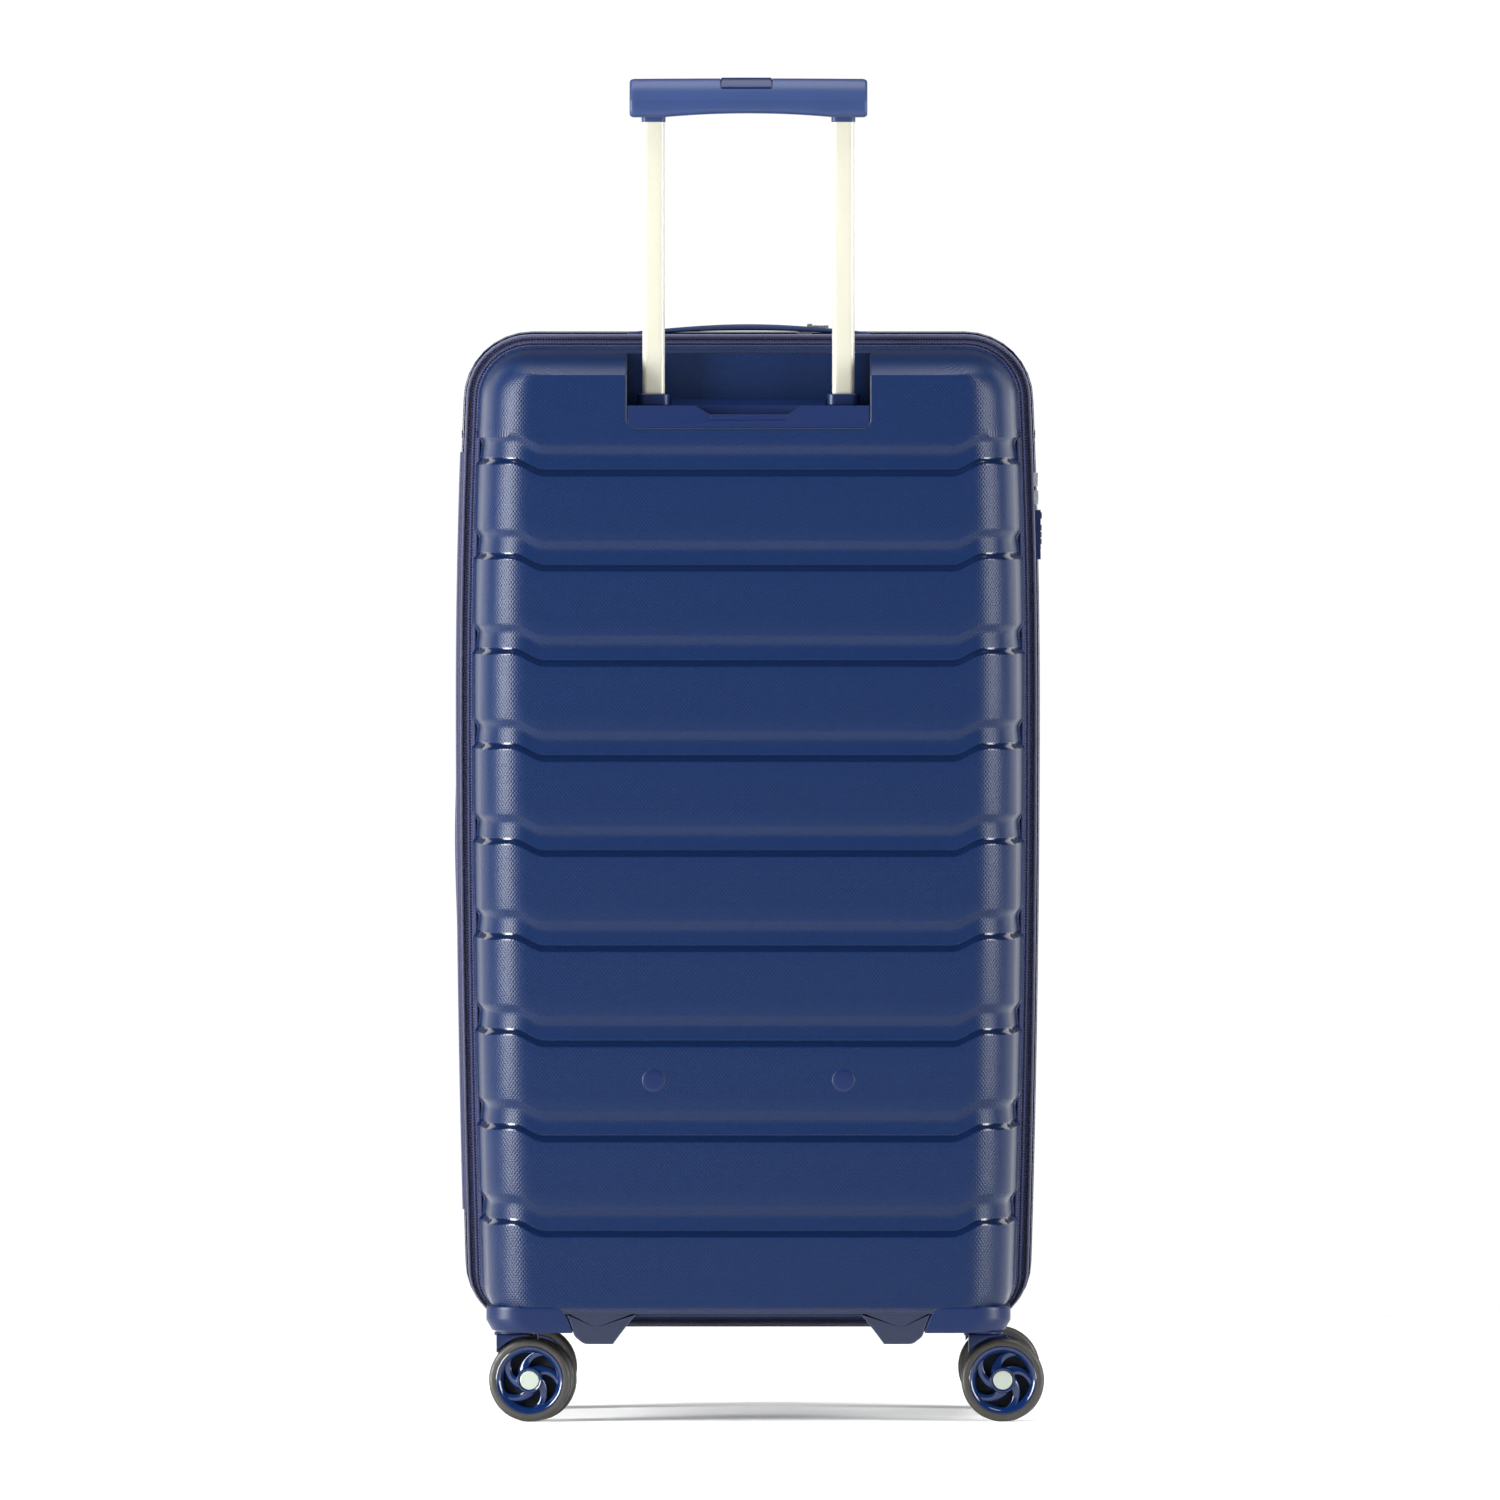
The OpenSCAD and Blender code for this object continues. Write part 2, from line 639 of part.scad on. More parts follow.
module key_cylinder() {
    color("#b9bcc0") translate([0, key_y, key_z]) difference() {
        rod_x(key_r, lock_x0 + 2, lock_x1 + 0.3);
        box([lock_x1 - 3, -0.5, -2.2], [lock_x1 + 1, 0.5, 2.2]);
    }
}

module lock_release() {
    color("#31457c") box([lock_x0 + 5.3, 0, release_z0], [lock_x1 + 1, 12, release_z1]);
}

// Two sliders parked head to head above the lock, with pulls that reach down to it
module main_zip_sliders() {
    color("#9a9da1") for (z = [662, 675]) {
        box([half_w(z) - tape_out + 0.3, zip_y - 4, z], [half_w(z) - tape_out + 3.6, zip_y + 4, z + 10]);
        box([half_w(z) - tape_out + 1.6, zip_y + 3, lock_z + lock_half_h],
            [half_w(z) - tape_out + 3, lock_y0, z + 5]);
    }
}

// ---- expander zip slider and its pull ----

module expander_slider() {
    tape_z = case_top - tape_out + 0.3;
    color("#9a9da1") {
        box([slider_x - 5, split_y - 3.5, tape_z], [slider_x + 5, split_y + 3.5, tape_z + 4]);
        for (y = [split_y - 3.2, split_y + 1.8])
            box([pull_pin_x - 2, y, tape_z + 4], [pull_pin_x + 2, y + 1.4, pull_pin_z + 2]);
        translate([pull_pin_x, 0, pull_pin_z]) rod_y(pull_pin_r, split_y - 3, split_y + 3);
    }
}

module expander_pull() {
    color("#b9bcc0") translate([pull_pin_x, 0, pull_pin_z]) difference() {
        union() {
            rod_y(1.9, split_y - 1.5, split_y + 1.5);
            box([0, split_y - 1.5, -1], [14, split_y + 1.5, 1]);
        }
        rod_y(pull_pin_r + fit, split_y - 2, split_y + 2);
    }
}

// ---- soft fittings inside ----

module rear_lining() {
    color("#47506b") box([-160, anchor_y1, 120], [160, anchor_y1 + 3, 704]);
}

module front_lining() {
    color("#47506b") box([-150, 181, 120], [150, case_half_d - wall - rib_depth, 704]);
}

strap_heights = [250, 520];

module rear_straps() {
    color("#2b3048") for (z = strap_heights)
        box([-170, anchor_y1 + 3, z - 19], [170, anchor_y1 + 4.5, z + 19]);
}

module strap_buckles() {
    color("#202226") for (z = strap_heights)
        box([-28, anchor_y1 + 4.5, z - 22], [28, anchor_y1 + 11, z + 22]);
}

// ---- casters ----

// A caster's own frame: origin on the floor under the kingpin, wheels trailing to +X
module at_caster(sx, sy, turn) {
    translate([sx*caster_x, sy*caster_y, 0]) rotate(turn) children();
}

hood_gap = 1.6;                    // between tyre and hood
hood_from = 92;                    // angles of the hood over the wheels
hood_to = 140;
disc_z = 61.6;                     // underside of the swivel disc
disc_r = 19;

module fork_at_rest() {
    hood_r = wheel_r + hood_gap;
    pin_top = housing_z1 - 3;
    color("#26396c") {
        // hood over both wheels, closed by the swivel disc
        prism_y(concat([for (t = [hood_from:8:hood_to])
                [trail + hood_r*cos(t), wheel_r + hood_r*sin(t)]],
            [[-11.5, 52], [-12, disc_z + 1.5], [trail - 1, disc_z + 1.5]]), -15, 15);
        translate([0, 0, disc_z]) cylinder(h = housing_z0 - 0.5 - disc_z, r = disc_r);
        // web between the wheels, down to the axle
        difference() {
            union() {
                prism_y([[-9, 58], [trail - 7.5, wheel_r - 2], [trail + 7.5, wheel_r + 2],
                         [trail + 3, disc_z + 1], [-9, disc_z + 1]], -web, web);
                translate([trail, 0, wheel_r]) rod_y(8, -web, web);
            }
            translate([trail, 0, wheel_r]) rod_y(axle_r, -web - 1, web + 1);
        }
    }
    color("#9a9da1") translate([0, 0, housing_z0 - 1])
        cylinder(h = pin_top - housing_z0 + 1, r = kingpin_r);
}

module axle_at_rest() {
    out = web + side_play + wheel_w;
    color("#b9bcb8") translate([trail, 0, wheel_r]) {
        rod_y(axle_r, -out + 1.5, out - 1.5);
        rod_y(cap_r, -out - 0.2, -out + 1.5);
        rod_y(cap_r, out - 1.5, out + 0.2);
    }
}

// One rim in its own frame, axis along Z, inner face at 0
spoke_form = [[6, -5], [16, -2.5], [21, 2], [20, 6.5], [14, 4], [6, 5]];

module rim_disc() {
    difference() {
        union() {
            rotate_extrude() polygon([[axle_r + fit, 0.3], [hub_r, 0.3], [hub_r, wheel_w - 0.4],
                [cap_r + 0.5, wheel_w - 0.4], [cap_r + 0.5, wheel_w - 1.8],
                [axle_r + fit, wheel_w - 1.8]]);
            rotate_extrude() polygon([[19.5, 1.5], [tyre_in_r, 0.5], [tyre_in_r, wheel_w - 0.3],
                [22.5, wheel_w - 0.3], [20, wheel_w - 2]]);
            for (i = [0:spoke_count - 1]) rotate(i*360/spoke_count)
                translate([0, 0, 3.5]) linear_extrude(6.5) polygon(spoke_form);
        }
        translate([0, 0, -1]) cylinder(h = wheel_w + 2, r = axle_r + fit);
        translate([0, 0, wheel_w - 1.8]) cylinder(h = 2, r = cap_r + 0.5);
    }
}

module tyre_ring() {
    bevel = 2.5;
    rotate_extrude() polygon([[tyre_in_r, 0.5], [wheel_r - bevel, 0], [wheel_r - 0.7, 0.8],
        [wheel_r, bevel], [wheel_r, wheel_w - bevel], [wheel_r - 0.7, wheel_w - 0.8],
        [wheel_r - bevel, wheel_w], [tyre_in_r, wheel_w - 0.3]]);
}

module wheel_pair() {
    for (s = [-1, 1]) translate([trail, s*(web + side_play), wheel_r]) rotate([-s*90, 0, 0])
        children();
}

module rims(sx, sy, turn) { color("#22407f") at_caster(sx, sy, turn) wheel_pair() rim_disc(); }
module tyres(sx, sy, turn) { color("#3a3733") at_caster(sx, sy, turn) wheel_pair() tyre_ring(); }

module rear_left_fork() { at_caster(-1, -1, rear_left_turn) fork_at_rest(); }
module rear_left_axle() { at_caster(-1, -1, rear_left_turn) axle_at_rest(); }
module rear_left_rims() { rims(-1, -1, rear_left_turn); }
module rear_left_tyres() { tyres(-1, -1, rear_left_turn); }
module rear_right_fork() { at_caster(1, -1, 0) fork_at_rest(); }
module rear_right_axle() { at_caster(1, -1, 0) axle_at_rest(); }
module rear_right_rims() { rims(1, -1, 0); }
module rear_right_tyres() { tyres(1, -1, 0); }
module front_left_fork() { at_caster(-1, 1, 0) fork_at_rest(); }
module front_left_axle() { at_caster(-1, 1, 0) axle_at_rest(); }
module front_left_rims() { rims(-1, 1, 0); }
module front_left_tyres() { tyres(-1, 1, 0); }
module front_right_fork() { at_caster(1, 1, 0) fork_at_rest(); }
module front_right_axle() { at_caster(1, 1, 0) axle_at_rest(); }
module front_right_rims() { rims(1, 1, 0); }
module front_right_tyres() { tyres(1, 1, 0); }

rear_shell();
rear_left_housing();
rear_right_housing();
handle_well();
trolley_base();
tube_collars();
outer_tube_left();
outer_tube_right();
tube_anchors();
anchor_screws();
screw_plugs();
rear_zip_tape();
rear_lining();
rear_straps();
strap_buckles();
inner_tube_left();
inner_tube_right();
grip();
tube_glides();
release_button();
push_rods();
button_springs();
middle_band();
band_zip_tapes();
hinge_tape();
divider();
handle_end_plates();
lock_housing();
main_zip_sliders();
expander_gusset();
lock_dial_1();
lock_dial_2();
lock_dial_3();
key_cylinder();
lock_release();
top_handle();
side_handle();
expander_slider();
expander_pull();
front_shell();
front_left_housing();
front_right_housing();
front_zip_tape();
front_lining();
rear_left_fork();
rear_left_axle();
rear_left_rims();
rear_left_tyres();
rear_right_fork();
rear_right_axle();
rear_right_rims();
rear_right_tyres();
front_left_fork();
front_left_axle();
front_left_rims();
front_left_tyres();
front_right_fork();
front_right_axle();
front_right_rims();
front_right_tyres();
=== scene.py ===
import json
import math

import bmesh
import bpy
import numpy as np
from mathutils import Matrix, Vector

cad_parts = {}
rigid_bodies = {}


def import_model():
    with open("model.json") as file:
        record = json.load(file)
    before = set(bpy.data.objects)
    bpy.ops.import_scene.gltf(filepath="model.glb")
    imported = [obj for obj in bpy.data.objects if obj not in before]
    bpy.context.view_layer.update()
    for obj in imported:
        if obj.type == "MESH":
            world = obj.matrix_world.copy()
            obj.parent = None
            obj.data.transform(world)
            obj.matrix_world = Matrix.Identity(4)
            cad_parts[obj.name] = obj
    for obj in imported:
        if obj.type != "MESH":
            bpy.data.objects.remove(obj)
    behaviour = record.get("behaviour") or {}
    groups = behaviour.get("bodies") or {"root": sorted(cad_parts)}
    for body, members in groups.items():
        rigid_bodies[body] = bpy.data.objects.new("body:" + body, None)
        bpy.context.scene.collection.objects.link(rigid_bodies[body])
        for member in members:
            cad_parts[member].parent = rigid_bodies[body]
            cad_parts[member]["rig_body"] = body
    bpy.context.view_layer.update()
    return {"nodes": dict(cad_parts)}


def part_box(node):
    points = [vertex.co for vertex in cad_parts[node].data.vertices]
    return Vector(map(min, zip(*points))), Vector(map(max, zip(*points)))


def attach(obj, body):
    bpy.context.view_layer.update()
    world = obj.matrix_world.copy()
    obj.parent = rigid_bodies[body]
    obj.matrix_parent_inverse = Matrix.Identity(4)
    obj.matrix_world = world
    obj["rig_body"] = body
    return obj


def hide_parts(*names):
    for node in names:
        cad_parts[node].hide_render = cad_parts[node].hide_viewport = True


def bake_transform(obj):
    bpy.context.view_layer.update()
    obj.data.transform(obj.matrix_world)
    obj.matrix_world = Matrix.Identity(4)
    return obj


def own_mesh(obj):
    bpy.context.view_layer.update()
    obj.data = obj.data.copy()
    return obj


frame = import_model()
mm = 0.001
print("frame loaded:", len(frame["nodes"]), "nodes")


cameraPlace = {"distance": 19.0, "height": 0.650, "aimHeight": 0.485, "side": 0.0011, "frameWidth": 1.080}
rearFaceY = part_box("rear_shell")[0].y


def makeCamera(place):
    data = bpy.data.cameras.new("studioCamera")
    data.sensor_width = 36
    data.lens = data.sensor_width * place["distance"] / place["frameWidth"]
    data.clip_start, data.clip_end = 1, 200
    camera = bpy.data.objects.new("studioCamera", data)
    bpy.context.scene.collection.objects.link(camera)
    camera.location = (place["side"], rearFaceY - place["distance"], place["height"])
    aim = Vector((place["side"], rearFaceY, place["aimHeight"])) - camera.location
    camera.rotation_euler = aim.to_track_quat("-Z", "Y").to_euler()
    bpy.context.scene.camera = camera


makeCamera(cameraPlace)


def linear(hexColour):
    # sRGB hex to linear light, channel by channel
    parts = [int(hexColour[i:i + 2], 16) / 255 for i in (1, 3, 5)]
    return [c / 12.92 if c <= 0.04045 else ((c + 0.055) / 1.055) ** 2.4 for c in parts] + [1.0]


def addNode(tree, kind, sockets=None, **settings):
    # one node with its settings; each socket gets a value or a link
    node = tree.nodes.new("ShaderNode" + kind)
    for name, value in settings.items():
        setattr(node, name, value)
    for name, value in (sockets or {}).items():
        if isinstance(value, bpy.types.NodeSocket):
            tree.links.new(value, node.inputs[name])
        else:
            node.inputs[name].default_value = value
    return node


def startMaterial(name, colour, **sockets):
    # a material with its Principled shader; sockets that are the same all over are set here
    material = bpy.data.materials.new(name)
    material.use_nodes = True
    shader = material.node_tree.nodes["Principled BSDF"]
    shader.inputs["Base Color"].default_value = linear(colour)
    for key, value in sockets.items():
        shader.inputs[key.replace("_", " ")].default_value = value
    return material, material.node_tree, shader


def objectPlace(tree):
    return addNode(tree, "TexCoord").outputs["Object"]


def tint(tree, shader, place, colour, other, size, amount):
    # slow drift between two near colours, as moulding and handling leave it
    drift = addNode(tree, "TexNoise", {"Vector": place, "Scale": 1 / size, "Detail": 3.0})
    share = addNode(tree, "MapRange", {"Value": drift.outputs["Fac"], "From Min": 0.35, "From Max": 0.65,
                                       "To Max": amount})
    mixed = addNode(tree, "Mix", {"Factor": share.outputs["Result"]}, data_type="RGBA")
    mixed.inputs[6].default_value = linear(colour)
    mixed.inputs[7].default_value = linear(other)
    tree.links.new(mixed.outputs[2], shader.inputs["Base Color"])


def bump(tree, shader, height, depth, strength=1.0):
    made = addNode(tree, "Bump", {"Height": height, "Distance": depth, "Strength": strength})
    tree.links.new(made.outputs["Normal"], shader.inputs["Normal"])


# spacing of the embossed lines; the real ones are about 1.7 mm apart, drawn a little coarser to show
twillPitch = 2.1 * mm
twillAngle = math.radians(37)


def bands(tree, place, angle, pitch):
    # straight lines at an angle, one every pitch: a wave texture repeats every 2 pi / (20 scale)
    turned = addNode(tree, "Mapping", {"Vector": place, "Rotation": (0, 0, angle)})
    wave = addNode(tree, "TexWave", {"Vector": turned.outputs["Vector"], "Scale": 2 * math.pi / 20 / pitch})
    return wave.outputs["Fac"]


def embossedPolypropylene():
    # injection moulded polypropylene: an etched twill on the panels breaks up the shine,
    # and the rib edges and rims are polished in the mould
    material, tree, shader = startMaterial("mouldedPolypropyleneTwill", "#051c48", IOR=1.49)
    weave = addNode(tree, "UVMap", uv_map="weave").outputs["UV"]
    twill = addNode(tree, "Math", {0: bands(tree, weave, twillAngle, twillPitch),
                                   1: bands(tree, weave, -twillAngle, twillPitch)}, operation="MAXIMUM")
    polish = addNode(tree, "Attribute", attribute_name="polish").outputs["Fac"]
    # polish 1 is a mirror-cut edge, 0 the twill, and below 0 the rough underside
    rough = addNode(tree, "MapRange", {"Value": polish, "To Min": 0.35, "To Max": 0.17}, clamp=False)
    tree.links.new(rough.outputs["Result"], shader.inputs["Roughness"])
    shine = addNode(tree, "MapRange", {"Value": polish, "To Min": 0.20, "To Max": 0.50})
    tree.links.new(shine.outputs["Result"], shader.inputs["Specular IOR Level"])
    faded = addNode(tree, "Math", {0: 1.0, 1: polish}, operation="SUBTRACT", use_clamp=True)
    height = addNode(tree, "Math", {0: twill.outputs[0], 1: faded.outputs[0]}, operation="MULTIPLY")
    bump(tree, shader, height.outputs[0], 0.13 * mm)
    # painted shade: the twill's grooves get a darker navy than its raised lines, and where polish fades the
    # twill out (polished rib lines, rims, base edge and feet) the whole surface takes that darker navy
    mixed = addNode(tree, "Mix", {"Factor": height.outputs[0]}, data_type="RGBA")
    mixed.inputs[6].default_value = linear("#010e29")
    mixed.inputs[7].default_value = linear("#02183b")
    tree.links.new(mixed.outputs[2], shader.inputs["Base Color"])
    return material


def satinPlastic(name, colour, other, roughness, grain=0.05 * mm, coat=0.0):
    # smooth moulding with the faint orange peel of spark-eroded tool steel
    material, tree, shader = startMaterial(name, colour, Roughness=roughness, IOR=1.5, Coat_Weight=coat,
                                           Specular_IOR_Level=0.22)
    place = objectPlace(tree)
    tint(tree, shader, place, colour, other, 0.05, 1.0)
    peel = addNode(tree, "TexNoise", {"Vector": place, "Scale": 1 / (1.2 * mm), "Detail": 2.0})
    bump(tree, shader, peel.outputs["Fac"], grain, 0.5)
    return material


def wornRoughness(tree, shader, place, low, high, size):
    spots = addNode(tree, "TexNoise", {"Vector": place, "Scale": 1 / size, "Detail": 4.0})
    spread = addNode(tree, "MapRange", {"Value": spots.outputs["Fac"], "From Min": 0.3, "From Max": 0.7,
                                        "To Min": low, "To Max": high})
    tree.links.new(spread.outputs["Result"], shader.inputs["Roughness"])


def drawnMetal(name, colour, low, high, stretch, metallic=1.0):
    # extruded or drawn metal: fine lines run along the piece
    material, tree, shader = startMaterial(name, colour, Metallic=metallic)
    place = addNode(tree, "TexCoord").outputs["Object"]
    long = addNode(tree, "Mapping", {"Vector": place, "Scale": stretch})
    lines = addNode(tree, "TexNoise", {"Vector": long.outputs["Vector"], "Scale": 1 / (0.8 * mm),
                                        "Detail": 2.0})
    spread = addNode(tree, "MapRange", {"Value": lines.outputs["Fac"], "From Min": 0.3, "From Max": 0.7,
                                        "To Min": low, "To Max": high})
    tree.links.new(spread.outputs["Result"], shader.inputs["Roughness"])
    bump(tree, shader, lines.outputs["Fac"], 0.01 * mm, 0.4)
    return material


def wovenCloth(name, colour, other, pitch, depth, roughness=0.85, sheen=0.15, mapName="weave"):
    # plain woven polyester: crossing threads along the piece's own length and width
    material, tree, shader = startMaterial(name, colour, Roughness=roughness, IOR=1.45, Sheen_Weight=sheen,
                                           Sheen_Roughness=0.4)
    threads = addNode(tree, "UVMap", uv_map=mapName).outputs["UV"]
    warp = bands(tree, threads, 0, pitch)
    weft = bands(tree, threads, math.pi / 2, pitch)
    cloth = addNode(tree, "Math", {0: warp, 1: weft}, operation="MULTIPLY")
    mixed = addNode(tree, "Mix", {"Factor": cloth.outputs[0]}, data_type="RGBA")
    mixed.inputs[6].default_value = linear(other)
    mixed.inputs[7].default_value = linear(colour)
    tree.links.new(mixed.outputs[2], shader.inputs["Base Color"])
    bump(tree, shader, cloth.outputs[0], depth)
    return material


def treadRubber():
    # cast polyurethane, with a faint bloom from rolling
    material, tree, shader = startMaterial("castPolyurethaneTread", "#211f1b", IOR=1.5)
    place = objectPlace(tree)
    tint(tree, shader, place, "#23211d", "#1a1916", 0.012, 1.0)
    wornRoughness(tree, shader, place, 0.38, 0.62, 0.006)
    grit = addNode(tree, "TexNoise", {"Vector": place, "Scale": 1 / (0.7 * mm), "Detail": 3.0})
    bump(tree, shader, grit.outputs["Fac"], 0.05 * mm, 0.6)
    return material


finishes = {
    "shell": embossedPolypropylene(),
    "satin": satinPlastic("mouldedSatinNavyAbs", "#05163a", "#051537", 0.36),
    "well": satinPlastic("mouldedDarkNavyAbs", "#07132b", "#061229", 0.36),
    "grip": satinPlastic("softTouchGripPlastic", "#1f2d50", "#1d2b4c", 0.40),
    "handle": satinPlastic("mouldedHandleRubber", "#1b2745", "#1a243f", 0.45, 0.09 * mm),
    "rim": satinPlastic("glossyRimNylon", "#061a40", "#06193c", 0.14, 0.02 * mm, 0.4),
    "black": satinPlastic("mouldedBlackNylon", "#17181b", "#1b1c20", 0.5),
    "gap": satinPlastic("shadowGapRubber", "#070a14", "#06080f", 0.7),
    "tube": drawnMetal("paleAnodisedAluminium", "#979689", 0.30, 0.42, (1, 1, 0.02), 0.12),
    "sleeve": drawnMetal("millAluminium", "#b9bcc0", 0.28, 0.45, (1, 1, 0.02)),
    "steel": drawnMetal("zincPlatedSteel", "#a9acb0", 0.22, 0.40, (1, 1, 1)),
    "cap": drawnMetal("satinAluminiumCap", "#98a098", 0.30, 0.45, (1, 1, 1), 0.6),
    "tape": wovenCloth("wovenZipTape", "#2f3560", "#191e3d", 2.0 * mm, 0.25 * mm),
    "band": wovenCloth("wovenBandNylon", "#2c3763", "#161d3c", 1.6 * mm, 0.2 * mm),
    "piping": wovenCloth("wovenPiping", "#4b4c62", "#30324a", 1.4 * mm, 0.15 * mm),
    "lining": wovenCloth("plainWovenLining", "#4a5474", "#3c4562", 1.5 * mm, 0.1 * mm),
    "strap": wovenCloth("wovenStrapWebbing", "#2b3156", "#171b33", 2.2 * mm, 0.3 * mm),
    "tyre": treadRubber(),
}
print("materials made:", len(finishes))


def grid(points, closeRows=False, closeColumns=False):
    # quads of a rows x columns array of points; either direction may close on itself
    rows, columns = points.shape[:2]
    r = np.arange(rows if closeRows else rows - 1)[:, None]
    c = np.arange(columns if closeColumns else columns - 1)[None, :]
    r2, c2 = (r + 1) % rows, (c + 1) % columns
    quads = np.stack([r * columns + c, r * columns + c2, r2 * columns + c2, r2 * columns + c], -1)
    return points.reshape(-1, 3), quads.reshape(-1, 4)


def capped(points):
    # a stack of closed loops, with a fan of quads to the middle of each end loop
    first, last = points[:1], points[-1:]
    ends = [np.broadcast_to(loop.mean(1, keepdims=True), loop.shape) for loop in (first, last)]
    return grid(np.concatenate([ends[0], points, ends[1]]), closeColumns=True)


def joined(parts):
    starts = np.cumsum([0] + [len(verts) for verts, quads in parts[:-1]])
    return (np.concatenate([verts for verts, quads in parts]),
            np.concatenate([quads + start for (verts, quads), start in zip(parts, starts)]))


def finishMesh(mesh, inside=None, smoothAngle=32):
    # merges doubles, points faces outwards and marks edges sharper than the angle
    work = bmesh.new()
    work.from_mesh(mesh)
    bmesh.ops.remove_doubles(work, verts=work.verts, dist=2e-6)
    loose = [v for v in work.verts if not v.link_faces]
    bmesh.ops.delete(work, geom=loose, context="VERTS")
    bmesh.ops.recalc_face_normals(work, faces=work.faces)
    if inside is not None:
        away = sum((f.calc_center_median() - Vector(inside)).dot(f.normal) * f.calc_area()
                   for f in work.faces)
        if away < 0:
            bmesh.ops.reverse_faces(work, faces=work.faces)
    work.to_mesh(mesh)
    work.free()
    mesh.polygons.foreach_set("use_smooth", np.ones(len(mesh.polygons), bool))
    mesh.set_sharp_from_angle(angle=math.radians(smoothAngle))
    mesh.update()


def makePiece(name, shape, body, finish, stands=(), weave=None, inside=None, smoothAngle=32,
              marks=None):
    # a piece from (points in mm, quads); weave is two columns in mm, marks are named values per point
    points, quads = shape
    mesh = bpy.data.meshes.new(name)
    mesh.from_pydata((np.asarray(points) * mm).tolist(), [], quads.tolist())
    if weave is None:
        weave = np.stack([points[:, 0] + points[:, 1], points[:, 2]], 1)
    corners = np.zeros(len(mesh.loops), np.int32)
    mesh.loops.foreach_get("vertex_index", corners)
    layer = mesh.uv_layers.new(name="weave")
    layer.data.foreach_set("uv", (weave[corners] * mm).astype(np.float32).ravel())
    for key, values in (marks or {}).items():
        mesh.attributes.new(key, "FLOAT", "POINT").data.foreach_set("value", values.astype(np.float32))
    mesh.validate()
    finishMesh(mesh, inside=inside, smoothAngle=smoothAngle)
    return placePiece(name, mesh, body, finish, stands)


def placePiece(name, mesh, body, finish, stands=()):
    piece = bpy.data.objects.new(name, mesh)
    bpy.context.scene.collection.objects.link(piece)
    mesh.materials.clear()
    mesh.materials.append(finishes[finish])
    if body:
        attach(piece, body)
    if stands:
        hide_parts(*stands)
    return piece


def thicken(piece, wall, side):
    # gives a skin its wall and keeps the rims crisp
    solid = piece.modifiers.new("wall", "SOLIDIFY")
    solid.thickness, solid.offset = wall * mm, side
    split = piece.modifiers.new("rims", "EDGE_SPLIT")
    split.split_angle = math.radians(50)


def bevelled(piece, width, segments=2, angle=30):
    made = piece.modifiers.new("edges", "BEVEL")
    made.width, made.segments, made.limit_method = width * mm, segments, "ANGLE"
    made.angle_limit = math.radians(angle)
    made.harden_normals = True
    return piece


def softened(node, finish, width, segments=2, angle=30, name=None):
    # a copy of a plain CAD solid with its doubles merged, flat faces joined and edges rounded
    source = frame["nodes"][node]
    mesh = source.data.copy()
    mesh.name = name or node + "_made"
    work = bmesh.new()
    work.from_mesh(mesh)
    bmesh.ops.remove_doubles(work, verts=work.verts, dist=2e-6)
    bmesh.ops.dissolve_limit(work, angle_limit=math.radians(1), verts=work.verts, edges=work.edges)
    work.to_mesh(mesh)
    work.free()
    mesh.polygons.foreach_set("use_smooth", np.ones(len(mesh.polygons), bool))
    mesh.set_sharp_from_angle(angle=math.radians(32))
    weaveFromPlace(mesh)
    piece = placePiece(mesh.name, mesh, source["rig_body"], finish, [node])
    if width:
        bevelled(piece, width, segments, angle)
    return piece


def weaveFromPlace(mesh):
    # cloth patterns on a plain solid run along x + y and z
    place = np.zeros(len(mesh.vertices) * 3, np.float32)
    mesh.vertices.foreach_get("co", place)
    place = place.reshape(-1, 3)
    corners = np.zeros(len(mesh.loops), np.int32)
    mesh.loops.foreach_get("vertex_index", corners)
    layer = mesh.uv_layers.get("weave") or mesh.uv_layers.new(name="weave")
    pair = np.stack([place[:, 0] + place[:, 1], place[:, 2]], 1)[corners]
    layer.data.foreach_set("uv", pair.astype(np.float32).ravel())


def dress(nodes, finish):
    # a CAD node whose shape is right keeps it and gets its material
    for node in nodes:
        obj = frame["nodes"][node]
        for place in obj.material_slots:
            place.material = finishes[finish]
        if not obj.material_slots:
            obj.data.materials.append(finishes[finish])


def rounded(corners, steps=6):
    # a closed outline from (x, y, radius) corners; each corner becomes an arc of a parabola
    p = np.array([c[:2] for c in corners], float)
    radius = np.array([c[2] for c in corners], float)[:, None]
    before = np.roll(p, 1, 0) - p
    after = np.roll(p, -1, 0) - p
    start = p + before / np.linalg.norm(before, axis=1, keepdims=True) * radius
    end = p + after / np.linalg.norm(after, axis=1, keepdims=True) * radius
    t = np.linspace(0, 1, steps)[None, :, None]
    arc = (1 - t) ** 2 * start[:, None] + 2 * t * (1 - t) * p[:, None] + t ** 2 * end[:, None]
    return arc.reshape(-1, 2)


def roundBar(width, depth, radius, steps=6):
    # closed outline of a bar with rounded corners, centred
    w, d = width / 2, depth / 2
    return rounded([(-w, -d, radius), (w, -d, radius), (w, d, radius), (-w, d, radius)], steps)


